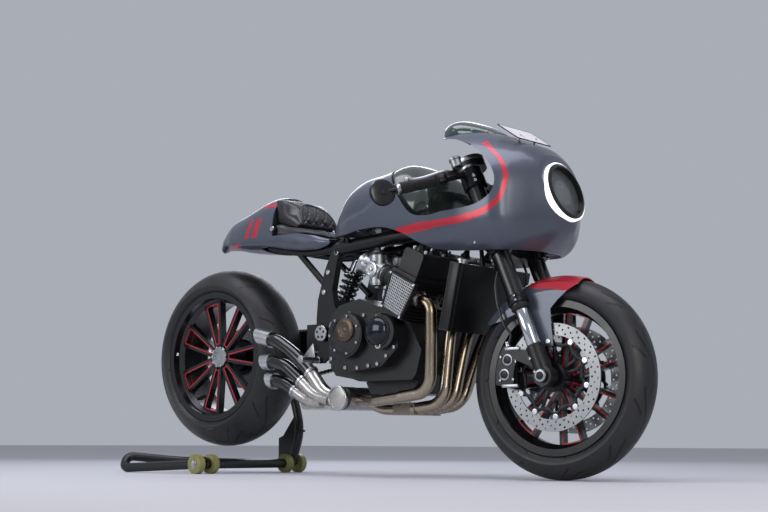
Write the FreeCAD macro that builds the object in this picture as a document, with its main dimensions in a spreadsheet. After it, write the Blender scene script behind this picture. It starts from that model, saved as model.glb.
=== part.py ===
"""Cafe racer motorcycle on a single-sided paddock stand.

Frame: +X forward, +Y to the rider's left, +Z up, millimetres. The origin is on the floor, on the centre plane,
half way between the two axles. The bike is parked with its rear wheel lifted and its steering a little to the left.
"""
import FreeCAD, Part
import math
import os

import Sketcher

App = FreeCAD
Vector = App.Vector

doc = App.newDocument("cafe_racer")
sheet = doc.addObject("Spreadsheet::Sheet", "Sizes")

# Driving dimensions, in millimetres and degrees
SIZES = {
    "wheelbase": 1450,
    "drawing_axle_forward": 725,
    "drawing_axle_height": 300,
    "front_tyre_height": 83,
    "front_tyre_width": 122,
    "front_crown_height": 44,
    "front_rim_width": 104,
    "rear_tyre_height": 100,
    "rear_tyre_width": 204,
    "rear_crown_height": 64,
    "rear_rim_width": 168,
    "rear_lift": 95,
    "sidewall_radius": 40,
    "rim_seat_radius": 217,
    "rim_flange_height": 14,
    "rim_flange_thickness": 6,
    "rim_seat_width": 20,
    "rim_well_depth": 14,
    "rim_wall": 7,
    "spoke_pairs": 7,
    "spoke_width": 15,
    "spoke_spread": 36,
    "spoke_gap": 11,
    "front_spoke_depth": 24,
    "rear_spoke_depth": 26,
    "rear_spoke_inset": 34,
    "front_hub_radius": 38,
    "front_hub_width": 124,
    "rear_hub_radius": 46,
    "rear_hub_right": 36,
    "rear_hub_left": 62,
    "axle_clearance": 0.1,
    "front_axle_radius": 14,
    "front_axle_bore": 10.5,
    "front_axle_overhang": 6,
    "spindle_radius": 28,
    "spindle_bore": 18,
    "spindle_end": 206,
    "hub_nut_radius": 36,
    "hub_nut_height": 18,
    "front_disc_radius": 160,
    "front_disc_bore": 124,
    "front_disc_thickness": 5,
    "disc_arm_count": 6,
    "disc_arm_width": 20,
    "rear_disc_radius": 108,
    "rear_disc_bore": 62,
    "rear_disc_thickness": 5,
    "sprocket_teeth": 40,
    "sprocket_thickness": 7,
    "sprocket_offset": 188,
    "front_sprocket_teeth": 16,
    "output_shaft_radius": 12,
    "chain_pitch": 15.875,
    "chain_plate_height": 14,
    "chain_width": 20,
    "rake": 23.5,
    "steer_rest": 4.5,
    "fork_offset": 30,
    "fork_spread": 208,
    "fork_slider_radius": 21.5,
    "fork_tube_radius": 27,
    "fork_foot_top": 96,
    "fork_tube_bottom": 228,
    "fork_tube_top": 704,
    "lower_clamp_height": 408,
    "upper_clamp_height": 636,
    "clamp_thickness": 34,
    "stem_radius": 15,
    "head_tube_radius": 32,
    "head_tube_clearance": 0.5,
    "clip_on_thickness": 28,
    "bar_radius": 11,
    "bar_sweep": 31,
    "bar_drop": 5.5,
    "bar_length": 234,
    "grip_radius": 17,
    "grip_length": 125,
    "mirror_radius": 41,
    "mirror_thickness": 12,
    "mirror_gap": 53,
    "dial_radius": 46,
    "dial_depth": 40,
    "dial_rise": 72,
    "hose_radius": 4,
    "fender_gap": 6,
    "fender_wall": 3,
    "fender_side_gap": 15,
    "caliper_length": 118,
    "caliper_gap": 16,
    "crank_height": 440,
    "crank_forward": 190,
    "cylinder_lean": 25,
    "crankcase_half_width": 172,
    "sump_half_width": 124,
    "block_half_width": 200,
    "block_foot": 70,
    "block_top": 122,
    "head_top": 212,
    "cam_cover_top": 286,
    "block_half_depth": 45,
    "port_spacing": 112,
    "port_height": 150,
    "header_radius": 19,
    "muffler_radius": 38,
    "muffler_forward": -30,
    "muffler_height": 250,
    "muffler_half_length": 150,
    "outlet_radius": 22,
    "outlet_side": 150,
    "tip_radius": 28,
    "tip_wall": 3,
    "pivot_back": 130,
    "pivot_height": 465,
    "pivot_bolt_radius": 12,
    "pivot_tube_radius": 30,
    "frame_half_width": 126,
    "frame_plate_thickness": 26,
    "arm_outer": 166,
    "arm_thickness": 50,
    "carrier_radius": 70,
    "radiator_half_width": 185,
    "radiator_thickness": 34,
    "shell_wall": 4,
    "tank_floor": 798,
    "tank_clearance": 1,
    "tail_wall": 4,
    "lamp_radius": 80,
    "lamp_ring_radius": 95,
    "lamp_tilt": 16,
    "lamp_forward": 732,
    "lamp_height": 860,
    "plate_width": 172,
    "plate_length": 95,
    "plate_thickness": 2.5,
    "plate_tilt": 34,
    "stand_tube_radius": 16,
    "stand_half_width": 215,
    "stand_roller_radius": 33,
    "stand_roller_width": 22,
    "stand_roller_spacing": 66,
    "stand_axle_ahead": 109,
    "stand_pin_radius": 17.6,
    "stand_pin_reach": 90,
}
for row, (alias, value) in enumerate(SIZES.items(), start=1):
    sheet.set(f"A{row}", alias)
    sheet.set(f"B{row}", str(value))
    sheet.setAlias(f"B{row}", alias)
doc.recompute()


def size(alias):
    """The value of a cell of the sheet."""
    return float(sheet.get(alias))


def sizes(expression):
    """An expression of sheet cells, as a number."""
    return float(sheet.evalExpression(expression))


# Places that several pieces share. The side drawing keeps the front axle at one place, and the last lines
# of this file move the finished bike, so that its origin is on the floor half way between the axles.
FRONT_WHEEL_RADIUS = size("rim_seat_radius") + size("front_tyre_height")
REAR_WHEEL_RADIUS = size("rim_seat_radius") + size("rear_tyre_height")
AXLE_FRONT = Vector(size("drawing_axle_forward"), 0, size("drawing_axle_height"))
FLOOR = AXLE_FRONT.z - FRONT_WHEEL_RADIUS
AXLE_REAR = Vector(AXLE_FRONT.x - size("wheelbase"), 0, FLOOR + size("rear_lift") + REAR_WHEEL_RADIUS)
PIVOT = Vector(-size("pivot_back"), 0, size("pivot_height"))
CRANK = Vector(size("crank_forward"), 0, size("crank_height"))


def turned(axis, degrees, about=Vector(0, 0, 0)):
    """A placement that turns about a line through a point."""
    return App.Placement(Vector(0, 0, 0), App.Rotation(axis, degrees), about)


FORK = App.Placement(AXLE_FRONT, App.Rotation(Vector(0, 1, 0), -size("rake")))
STEERED = FORK.multiply(turned(Vector(0, 0, 1), size("steer_rest"), Vector(-size("fork_offset"), 0, 0)))
FRONT_WHEEL = STEERED
REAR_WHEEL = App.Placement(AXLE_REAR, App.Rotation())
ENGINE = App.Placement(CRANK, App.Rotation(Vector(0, 1, 0), size("cylinder_lean")))
WORLD = App.Placement()
NODES = {}

# Sketches and features
AXIS_OF = {"XY_Plane": "z", "XZ_Plane": "y", "YZ_Plane": "x"}


def number(expression):
    return sizes(expression) if isinstance(expression, str) else float(expression)


def new_body(label, placement=WORLD):
    body = doc.addObject("PartDesign::Body", label)
    body.Label = label
    body.Placement = placement
    NODES[label] = body
    return body


def new_sketch(body, role, height):
    """A sketch parallel to a plane of the body, at a height along that plane's world axis."""
    sketch = body.newObject("Sketcher::SketchObject", body.Label + "_profile")
    sketch.AttachmentSupport = [(next(o for o in body.Origin.OriginFeatures if o.Role == role), "")]
    sketch.MapMode = "FlatFace"
    sign = "-" if role == "XZ_Plane" else ""
    sketch.setExpression("AttachmentOffset.Base.z", f"{sign}({height})")
    return sketch


def outline(sketch, points):
    """A closed outline. A point is (x, y) before a straight side, or (x, y, side, radius) before an arc."""
    places = [Vector(number(p[0]), number(p[1]), 0) for p in points]
    first = sketch.GeometryCount
    for index, point in enumerate(points):
        start, end = places[index], places[(index + 1) % len(points)]
        if len(point) == 2:
            sketch.addGeometry(Part.LineSegment(start, end))
            continue
        side, radius = point[2], number(point[3])
        chord = end - start
        reach = max(radius, chord.Length / 2 + 1e-6)
        rise = reach - math.sqrt(reach ** 2 - (chord.Length / 2) ** 2)
        normal = Vector(chord.y, -chord.x, 0).normalize() * side
        sketch.addGeometry(Part.Arc(start, (start + end) / 2 + normal * rise, end))
    for index, point in enumerate(points):
        geometry, following = first + index, first + (index + 1) % len(points)
        turned_over = len(point) == 4 and point[2] < 0
        after = points[(index + 1) % len(points)]
        after_turned_over = len(after) == 4 and after[2] < 0
        sketch.addConstraint(Sketcher.Constraint(
            "Coincident", geometry, 1 if turned_over else 2, following, 2 if after_turned_over else 1))
    for index, point in enumerate(points):
        geometry = first + index
        end = 2 if len(point) == 4 and point[2] < 0 else 1
        for kind, value, now in (("DistanceX", point[0], places[index].x), ("DistanceY", point[1], places[index].y)):
            made = sketch.addConstraint(Sketcher.Constraint(kind, -1, 1, geometry, end, now))
            sketch.setExpression(f"Constraints[{made}]", str(value))
        if len(point) == 4:
            made = sketch.addConstraint(Sketcher.Constraint("Radius", geometry, number(point[3])))
            sketch.setExpression(f"Constraints[{made}]", str(point[3]))


def circle(sketch, x, y, radius):
    geometry = sketch.addGeometry(Part.Circle(Vector(number(x), number(y), 0), Vector(0, 0, 1), number(radius)))
    for kind, value in (("DistanceX", x), ("DistanceY", y)):
        made = sketch.addConstraint(Sketcher.Constraint(kind, -1, 1, geometry, 3, number(value)))
        sketch.setExpression(f"Constraints[{made}]", str(value))
    made = sketch.addConstraint(Sketcher.Constraint("Radius", geometry, number(radius)))
    sketch.setExpression(f"Constraints[{made}]", str(radius))


def draw(sketch, shapes):
    for shape in shapes:
        if isinstance(shape, list):
            outline(sketch, shape)
        else:
            circle(sketch, *shape)


def add(body, role, shapes, low, high):
    """Pads outlines and circles between two heights along the plane's world axis."""
    upward = role != "XZ_Plane"
    sketch = new_sketch(body, role, low if upward else high)
    draw(sketch, shapes)
    pad = body.newObject("PartDesign::Pad", body.Label + "_pad")
    pad.Profile = sketch
    pad.setExpression("Length", f"({high}) - ({low})")
    sketch.Visibility = False
    return pad


def cut(body, role, shapes, low, high):
    """Pockets outlines and circles between two heights along the plane's world axis."""
    upward = role != "XZ_Plane"
    sketch = new_sketch(body, role, high if upward else low)
    draw(sketch, shapes)
    pocket = body.newObject("PartDesign::Pocket", body.Label + "_pocket")
    pocket.Profile = sketch
    pocket.setExpression("Length", f"({high}) - ({low})")
    sketch.Visibility = False
    return pocket


def spin(body, points, role="XY_Plane", axis="V_Axis", feature="Revolution"):
    """Revolves an outline about the sketch's own vertical or horizontal axis."""
    sketch = new_sketch(body, role, "0")
    outline(sketch, points)
    turned_piece = body.newObject("PartDesign::" + feature, body.Label + "_turned")
    turned_piece.Profile = sketch
    turned_piece.ReferenceAxis = (sketch, [axis])
    turned_piece.Angle = 360
    sketch.Visibility = False
    return turned_piece


def around(body, features, count, axis_role="Y_Axis"):
    """A polar pattern of features about an axis of the body."""
    pattern = body.newObject("PartDesign::PolarPattern", body.Label + "_pattern")
    pattern.Originals = features
    pattern.Axis = (next(o for o in body.Origin.OriginFeatures if o.Role == axis_role), [""])
    pattern.Angle = 360
    pattern.setExpression("Occurrences", count)
    body.Tip = pattern
    return pattern


def rounded(body, radius, choose):
    """Fillets the edges of the body's tip that a test picks out."""
    doc.recompute()
    names = [f"Edge{n}" for n, edge in enumerate(body.Tip.Shape.Edges, start=1) if choose(edge)]
    fillet = body.newObject("PartDesign::Fillet", body.Label + "_fillet")
    fillet.Base = (body.Tip if body.Tip is not fillet else fillet.BaseFeature, names)
    fillet.setExpression("Radius", radius)
    return fillet


def runs_along(edge, direction):
    """True for a straight edge along a direction."""
    return edge.Curve.TypeId == "Part::GeomLine" and abs(edge.Curve.Direction.dot(direction)) > 0.999


def feature(label, shape, placement=WORLD):
    """A piece whose shape is worked out here from the sheet's values."""
    piece = doc.addObject("Part::Feature", label)
    piece.Label = label
    piece.Shape = shape
    piece.Placement = placement
    NODES[label] = piece
    return piece


# Shapes made with Part's own functions
def bent_path(points, share=0.45):
    """Straight runs joined by tangent arcs. Each arc is as large as a share of the shorter run beside it allows."""
    edges, start = [], points[0]
    for before, corner, after in zip(points, points[1:], points[2:]):
        back, ahead = (before - corner), (after - corner)
        trim = share * min(back.Length, ahead.Length)
        back.normalize()
        ahead.normalize()
        first, last = corner + back * trim, corner + ahead * trim
        half_turn = (math.pi - back.getAngle(ahead)) / 2
        radius = trim / math.tan(half_turn)
        middle = (back + ahead).normalize()
        centre = corner + middle * (radius / math.cos(half_turn))
        edges.append(Part.LineSegment(start, first).toShape())
        edges.append(Part.Arc(first, centre - middle * radius, last).toShape())
        start = last
    edges.append(Part.LineSegment(start, points[-1]).toShape())
    return Part.Wire(edges)


def tube(points, radius, bore=0.0, share=0.45):
    """A round tube along bent runs; bore is its inside radius."""
    path = bent_path(points, share)
    direction = points[1] - points[0]
    def swept(r):
        ring = Part.Wire(Part.Circle(points[0], direction, r).toShape())
        return path.makePipeShell([ring], True, False)
    outer = swept(radius)
    return outer.cut(swept(bore)) if bore else outer


def rod(start, end, radius):
    direction = end - start
    return Part.makeCylinder(radius, direction.Length, start, direction)


def prism(points, low, high):
    """An outline in the XZ plane, given as (x, z), as a solid between two values of y."""
    face = Part.Face(Part.makePolygon([Vector(x, low, z) for x, z in points + points[:1]]))
    return face.extrude(Vector(0, high - low, 0))


def mirrored(shape):
    return shape.mirror(Vector(0, 0, 0), Vector(0, 1, 0))


def joined(shapes):
    whole = shapes[0].fuse(shapes[1:])
    return whole.removeSplitter()


# Wheels
def tyre(label, placement, wheel):
    """A closed ring from the rim's seat to the crown, with its beads against the rim's flanges."""
    body = new_body(label, placement)
    crown = f"Sizes.{wheel}_crown_height"
    half = f"Sizes.{wheel}_tyre_width / 2"
    bead = f"(Sizes.{wheel}_rim_width / 2 - Sizes.rim_flange_thickness)"
    seat = "Sizes.rim_seat_radius"
    edge = "Sizes.rim_seat_radius + Sizes.rim_flange_height"
    shoulder = f"Sizes.rim_seat_radius + Sizes.{wheel}_tyre_height - {crown}"
    crown_radius = f"(({half}) ^ 2 + {crown} ^ 2) / (2 * {crown})"
    spin(body, [
        (seat, f"-{bead}"),
        (edge, f"-{bead}", 1, "Sizes.sidewall_radius"),
        (shoulder, f"-{half}", 1, crown_radius),
        (shoulder, half, 1, "Sizes.sidewall_radius"),
        (edge, bead),
        (seat, bead),
    ])


def rim(label, placement, wheel, hub, spokes):
    """A cast wheel: a turned hub, pairs of slim spokes and a turned rim with a well."""
    body = new_body(label, placement)
    hub_radius, hub_bore, hub_low, hub_high = hub
    spoke_low, spoke_high = spokes
    spin(body, [(hub_bore, hub_low), (hub_radius, hub_low), (hub_radius, hub_high), (hub_bore, hub_high)])
    inner = f"({hub_radius} - 6)"
    outer = "(Sizes.rim_seat_radius - Sizes.rim_wall - Sizes.rim_well_depth + 2)"
    wide = "Sizes.spoke_width / 2"
    arms = []
    for side in (1, -1):
        near, far = f"{side} * Sizes.spoke_gap", f"{side} * Sizes.spoke_spread"
        arms.append([(inner, f"{near} - {wide}"), (outer, f"{far} - {wide}"),
                     (outer, f"{far} + {wide}"), (inner, f"{near} + {wide}")])
    pad = add(body, "XZ_Plane", arms, spoke_low, spoke_high)
    around(body, [pad], "Sizes.spoke_pairs")
    half = f"(Sizes.{wheel}_rim_width / 2)"
    bead = f"({half} - Sizes.rim_flange_thickness)"
    seat_end = f"({bead} - Sizes.rim_seat_width)"
    well_end = f"({seat_end} - Sizes.rim_well_depth)"
    seat = "Sizes.rim_seat_radius"
    edge = "Sizes.rim_seat_radius + Sizes.rim_flange_height"
    under = "Sizes.rim_seat_radius - Sizes.rim_wall"
    well = "Sizes.rim_seat_radius - Sizes.rim_wall - Sizes.rim_well_depth"
    spin(body, [
        (edge, f"-{half}"), (edge, f"-{bead}"), (seat, f"-{bead}"), (seat, bead), (edge, bead), (edge, half),
        (under, half), (under, seat_end), (well, well_end), (well, f"-{well_end}"), (under, f"-{seat_end}"),
        (under, f"-{half}"),
    ])


def disc(label, placement, outer, bore, thickness, offset, inner, arms=""):
    """A brake disc: a ring, and a carrier of arms from the hub's flange."""
    body = new_body(label, placement)
    low, high = f"({offset}) - {thickness} / 2", f"({offset}) + {thickness} / 2"
    spin(body, [(f"{inner} + 12", low), (f"{inner} + 12", high), (inner, high), (inner, low)])
    wide = "Sizes.disc_arm_width / 2"
    arm = add(body, "XZ_Plane", [[(f"{inner} + 6", f"-{wide}"), (f"{bore} + 4", f"-{wide}"),
                                  (f"{bore} + 4", wide), (f"{inner} + 6", wide)]], low, high)
    around(body, [arm], "Sizes.disc_arm_count")
    spin(body, [(outer, low), (outer, high), (bore, high), (bore, low)])


tyre("front_tyre", FRONT_WHEEL, "front")
rim("front_rim", FRONT_WHEEL, "front",
    ("Sizes.front_hub_radius", "Sizes.front_axle_radius + Sizes.axle_clearance",
     "-Sizes.front_hub_width / 2", "Sizes.front_hub_width / 2"),
    ("-Sizes.front_spoke_depth / 2", "Sizes.front_spoke_depth / 2"))
for side, label in ((-1, "right_front_disc"), (1, "left_front_disc")):
    disc(label, FRONT_WHEEL, "Sizes.front_disc_radius", "Sizes.front_disc_bore", "Sizes.front_disc_thickness",
         f"{side} * (Sizes.front_hub_width / 2 + Sizes.front_disc_thickness / 2)", "22")

tyre("rear_tyre", REAR_WHEEL, "rear")
rim("rear_rim", REAR_WHEEL, "rear",
    ("Sizes.rear_hub_radius", "Sizes.spindle_radius", "-Sizes.rear_hub_right", "Sizes.rear_hub_left"),
    ("-Sizes.rear_rim_width / 2 + Sizes.rear_spoke_inset",
     "-Sizes.rear_rim_width / 2 + Sizes.rear_spoke_inset + Sizes.rear_spoke_depth"))
disc("rear_disc", REAR_WHEEL, "Sizes.rear_disc_radius", "Sizes.rear_disc_bore", "Sizes.rear_disc_thickness",
     "Sizes.rear_hub_left + Sizes.rear_disc_thickness / 2", "Sizes.spindle_radius")

rear_axle = new_body("rear_axle", REAR_WHEEL)
spin(rear_axle, [
    ("Sizes.spindle_bore", "-Sizes.rear_hub_right - Sizes.hub_nut_height"),
    ("Sizes.hub_nut_radius", "-Sizes.rear_hub_right - Sizes.hub_nut_height"),
    ("Sizes.hub_nut_radius", "-Sizes.rear_hub_right"), ("Sizes.spindle_radius", "-Sizes.rear_hub_right"),
    ("Sizes.spindle_radius", "Sizes.spindle_end"), ("Sizes.spindle_bore", "Sizes.spindle_end"),
])


def sprocket(label, placement, teeth, bore, offset):
    """A roller chain sprocket: a blank cut by a gap for each roller."""
    pitch_radius = f"(Sizes.chain_pitch / (2 * sin(180 / {teeth})))"
    half = "Sizes.sprocket_thickness / 2"
    body = new_body(label, placement)
    spin(body, [(bore, f"{offset} - {half}"), (f"{pitch_radius} + 4.5", f"{offset} - {half}"),
                (f"{pitch_radius} + 4.5", f"{offset} + {half}"), (bore, f"{offset} + {half}")])
    gap = cut(body, "XZ_Plane", [(pitch_radius, "0", "5.2")], f"{offset} - {half}", f"{offset} + {half}")
    around(body, [gap], teeth)


OUTPUT = Vector(-50, 0, 462)
sprocket("rear_sprocket", REAR_WHEEL, "Sizes.sprocket_teeth", "Sizes.spindle_radius", "Sizes.sprocket_offset")
sprocket("front_sprocket", App.Placement(OUTPUT, App.Rotation()), "Sizes.front_sprocket_teeth",
         "Sizes.output_shaft_radius", "Sizes.sprocket_offset")
add(NODES["front_sprocket"], "XZ_Plane", [("0", "0", "Sizes.output_shaft_radius")],
    "Sizes.crankcase_half_width", "Sizes.sprocket_offset + 8")


def chain_loop():
    """The chain's band round both sprockets, open over their teeth."""
    y, half = size("sprocket_offset"), size("chain_width") / 2
    reach, lift = size("chain_plate_height") / 2, 6.5
    radii = [size("chain_pitch") / (2 * math.sin(math.pi / size(name)))
             for name in ("sprocket_teeth", "front_sprocket_teeth")]
    def belt(grow, low, high):
        discs = [(Vector(AXLE_REAR.x, low, AXLE_REAR.z), radii[0] + grow),
                 (Vector(OUTPUT.x, low, OUTPUT.z), radii[1] + grow)]
        (a, ra), (b, rb) = discs
        span = b - a
        tilt = math.asin((ra - rb) / span.Length)
        heading = math.atan2(span.z, span.x)
        corners = []
        for sign in (1, -1):
            angle = heading + sign * (math.pi / 2 - tilt)
            normal = Vector(math.cos(angle), 0, math.sin(angle))
            corners.append((a + normal * ra, b + normal * rb))
        face = Part.Face(Part.makePolygon([corners[0][0], corners[0][1], corners[1][1], corners[1][0], corners[0][0]]))
        shape = face.extrude(Vector(0, high - low, 0))
        for centre, radius in discs:
            shape = shape.fuse(Part.makeCylinder(radius, high - low, centre, Vector(0, 1, 0)))
        return shape.removeSplitter()
    band = belt(reach, y - half, y + half).cut(belt(-reach, y - half - 1, y + half + 1))
    slot = size("sprocket_thickness") / 2 + 0.8
    for centre, radius in ((AXLE_REAR, radii[0]), (OUTPUT, radii[1])):
        at = Vector(centre.x, y - slot, centre.z)
        band = band.cut(Part.makeCylinder(radius + lift, 2 * slot, at, Vector(0, 1, 0)))
    return band


feature("chain", chain_loop())

# Front fork, in its own frame: origin at the front axle, +Z up the fork
SPREAD = "Sizes.fork_spread / 2"
front_axle = new_body("front_axle", STEERED)
spin(front_axle, [
    ("Sizes.front_axle_bore", f"-({SPREAD} + Sizes.fork_tube_radius + Sizes.front_axle_overhang)"),
    ("Sizes.front_axle_radius", f"-({SPREAD} + Sizes.fork_tube_radius + Sizes.front_axle_overhang)"),
    ("Sizes.front_axle_radius", f"{SPREAD} + Sizes.fork_tube_radius + Sizes.front_axle_overhang"),
    ("Sizes.front_axle_bore", f"{SPREAD} + Sizes.fork_tube_radius + Sizes.front_axle_overhang"),
])
for side, name in ((-1, "right"), (1, "left")):
    leg = f"{side} * {SPREAD}"
    foot = new_body(name + "_fork_slider", STEERED)
    add(foot, "XZ_Plane", [("0", "0", "Sizes.fork_tube_radius + 3")],
        f"{leg} - Sizes.fork_tube_radius + 4", f"{leg} + Sizes.fork_tube_radius - 4")
    add(foot, "XY_Plane", [("0", leg, "Sizes.fork_tube_radius")], "12", "Sizes.fork_foot_top")
    add(foot, "XY_Plane", [("0", leg, "Sizes.fork_slider_radius")], "Sizes.fork_foot_top", "Sizes.fork_tube_bottom")
    add(foot, "XZ_Plane", [[("-20", "34"), ("-74", "88"), ("-74", "112"), ("-56", "112"), ("-20", "90")]],
        f"{leg} - 9", f"{leg} + 9")
    cut(foot, "XZ_Plane", [("0", "0", "Sizes.front_axle_radius")],
        f"{leg} - 2 * Sizes.fork_tube_radius", f"{leg} + 2 * Sizes.fork_tube_radius")
    tube_body = new_body(name + "_fork_tube", STEERED)
    add(tube_body, "XY_Plane", [("0", leg, "Sizes.fork_tube_radius")], "Sizes.fork_tube_bottom", "Sizes.fork_tube_top")


def fork_clamp(label, height):
    """A clamp with a split eye round each leg and a boss for the stem."""
    body = new_body(label, STEERED)
    low, high = height, f"{height} + Sizes.clamp_thickness"
    stem = "-Sizes.fork_offset"
    eye = "Sizes.fork_tube_radius + 10"
    wing = f"{SPREAD} + 4"
    add(body, "XY_Plane", [[
        (f"{stem} - 34", "-40"), (f"{stem} - 4", f"-({wing})"), (f"{stem} + 50", f"-({wing})"),
        (f"{stem} + 30", "0"), (f"{stem} + 50", wing), (f"{stem} - 4", wing), (f"{stem} - 34", "40")]], low, high)
    for side in (1, -1):
        add(body, "XY_Plane", [("0", f"{side} * {SPREAD}", eye)], low, high)
    for side in (1, -1):
        cut(body, "XY_Plane", [("0", f"{side} * {SPREAD}", "Sizes.fork_tube_radius")], low, high)
    return body


add(fork_clamp("lower_clamp", "Sizes.lower_clamp_height"), "XY_Plane",
    [("-Sizes.fork_offset", "0", "Sizes.stem_radius")],
    "Sizes.lower_clamp_height", "Sizes.upper_clamp_height + Sizes.clamp_thickness")
cut(fork_clamp("upper_clamp", "Sizes.upper_clamp_height"), "XY_Plane",
    [("-Sizes.fork_offset", "0", "Sizes.stem_radius")],
    "Sizes.upper_clamp_height", "Sizes.upper_clamp_height + Sizes.clamp_thickness")


def fender():
    """A mudguard: a crowned skin turned about the axle, trimmed to its outline in the side view."""
    crown = FRONT_WHEEL_RADIUS + size("fender_gap")
    side = size("front_tyre_width") / 2 + size("fender_side_gap")
    wall = size("fender_wall")
    def turned_form(top, out, low):
        arc = Part.Arc(Vector(0, -out + 8, top - 26), Vector(0, 0, top), Vector(0, out - 8, top - 26)).toShape()
        rest = Part.makePolygon([Vector(0, out - 8, top - 26), Vector(0, out, top - 52), Vector(0, out, low),
                                 Vector(0, -out, low), Vector(0, -out, top - 52), Vector(0, -out + 8, top - 26)])
        face = Part.Face(Part.Wire([arc] + rest.Edges))
        return face.revolve(Vector(0, 0, 0), Vector(0, 1, 0), 360)
    skin = turned_form(crown + wall, side, 60).cut(turned_form(crown, side - wall, 50))
    outline_piece = prism(FENDER_OUTLINE, -2 * side, 2 * side)
    outline_piece.translate(-AXLE_FRONT)
    return skin.common(outline_piece)


# The mudguard in the side view: its crown, then its lower edge from the front tip to the rear one
FENDER_OUTLINE = [(806, 572), (798, 700), (480, 700), (474, 478), (505, 461), (555, 474), (600, 492), (648, 500),
                  (672, 443), (688, 392), (732, 392), (724, 456), (721, 503), (745, 528), (780, 556)]
# World angles about the axle become fork angles by the rake
arched = fender().rotated(Vector(0, 0, 0), Vector(0, 1, 0), size("rake"))
leg_y, leg_radius = size("fork_spread") / 2, size("fork_tube_radius")
skirt_y = size("front_tyre_width") / 2 + size("fender_side_gap")
for side in (1, -1):
    near, far = sorted((side * (skirt_y - 1), side * (leg_y - leg_radius + 6)))
    tab = Part.makeBox(26, far - near, 22, Vector(-13, near, 238))
    arched = arched.fuse(tab.cut(Part.makeCylinder(leg_radius, 500, Vector(0, side * leg_y, 100))))
feature("front_fender", arched.removeSplitter(), STEERED)


def caliper(side):
    """A radial caliper: a bridge over the disc's rim with a slot for the disc."""
    centre = side * (size("front_hub_width") / 2 + size("front_disc_thickness") / 2)
    low, high = centre - 26, centre + 26
    if side > 0:
        high = centre + 34
    else:
        low = centre - 34
    def drum(radius, low_y, high_y):
        return Part.makeCylinder(radius, high_y - low_y, Vector(0, low_y, 0), Vector(0, 1, 0))
    gap = size("caliper_gap") / 2
    block = drum(size("front_disc_radius") + 18, low, high).cut(drum(size("front_disc_radius") - 44, low - 1, high + 1))
    block = block.cut(drum(size("front_disc_radius") + 6, centre - gap, centre + gap))
    half = size("caliper_length") / 2
    bearing = App.Rotation(Vector(0, 1, 0), -(144 - 90))
    wedge = Part.makeBox(2 * half, 300, 300, Vector(-half, -150, 0))
    wedge.Placement = App.Placement(Vector(0, 0, 0), bearing)
    return block.common(wedge)


doc.recompute()
for side, name in ((-1, "right"), (1, "left")):
    foot_lug = NODES[name + "_fork_slider"].Tip.Shape
    feature(name + "_caliper", caliper(side).cut(foot_lug), STEERED)

# Bars, grips and mirrors
clip_low = size("upper_clamp_height") + size("clamp_thickness")
BAR_START = Vector(-6, size("fork_spread") / 2 + 30, clip_low + size("clip_on_thickness") / 2)
SWEEP = math.radians(size("bar_sweep"))
DROP = math.radians(size("bar_drop"))
BAR_HEADING = Vector(-math.sin(SWEEP) * math.cos(DROP), math.cos(SWEEP) * math.cos(DROP), -math.sin(DROP))


def both_sides(shape):
    return {"left": shape, "right": mirrored(shape)}


ring = Part.makeCylinder(size("fork_tube_radius") + 9, size("clip_on_thickness"), Vector(0, size("fork_spread") / 2, clip_low))
bar_end = BAR_START + BAR_HEADING * size("bar_length")
bar = rod(BAR_START - BAR_HEADING * 24, bar_end, size("bar_radius"))
clip = ring.fuse(bar).cut(Part.makeCylinder(size("fork_tube_radius"), 200, Vector(0, size("fork_spread") / 2, 600)))
clip = clip.removeSplitter()
grip_start = bar_end - BAR_HEADING * size("grip_length")
grip = rod(grip_start, bar_end, size("grip_radius")).cut(rod(grip_start, bar_end, size("bar_radius")))
for name, shape in both_sides(grip).items():
    feature(name + "_grip", shape, STEERED)
MIRROR_FACING = Vector(0.85, 0.45, -0.25).normalize()
mirror_centre = bar_end + Vector(-0.72, 0.7, 0).normalize() * size("mirror_gap")
disc_back = mirror_centre - MIRROR_FACING * (size("mirror_thickness") / 2)
mirror_piece = tube([bar_end, bar_end + BAR_HEADING * 14, mirror_centre], 6, share=0.4)
mirror_piece = mirror_piece.fuse(Part.makeCylinder(
    size("mirror_radius"), size("mirror_thickness"), disc_back, MIRROR_FACING))
for name, shape in both_sides(clip.fuse(mirror_piece).removeSplitter()).items():
    feature(name + "_clip_on", shape, STEERED)

# The dial stands on the upper clamp, and a hose runs from the lower clamp to each caliper
dial_foot = Vector(-43, 0, clip_low)
dial_bottom = dial_foot + Vector(0, 0, size("dial_rise"))
dial_face = dial_bottom + Vector(0, 0, size("dial_depth"))
dial = Part.makeCylinder(size("dial_radius"), size("dial_depth"), dial_bottom)
dial = dial.makeFillet(6, [edge for edge in dial.Edges if abs(edge.CenterOfMass.z - dial_face.z) < 0.1])
feature("instrument", joined([rod(dial_foot, dial_bottom + Vector(0, 0, 2), 13), dial]), STEERED)
hoses = []
for side in (1, -1):
    hoses.append(tube([Vector(-32, side * 80, size("lower_clamp_height")), Vector(-32, side * 80, 382),
                       Vector(-62, side * 86, 340), Vector(-78, side * 90, 280), Vector(-80, side * 90, 205), Vector(-70, side * 84, 174),
                       Vector(-94.5, side * 84, 142.1)], size("hose_radius"), share=0.4))
feature("brake_hoses", Part.makeCompound(hoses), STEERED)

# Engine: an inline four across the frame, its cylinders leaning forward
HALF = "Sizes.crankcase_half_width"


def engine_point(forward, up):
    """A place in the side view, given along the cylinders' own axes from the crank."""
    return ENGINE.multVec(Vector(forward, 0, up))


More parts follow.
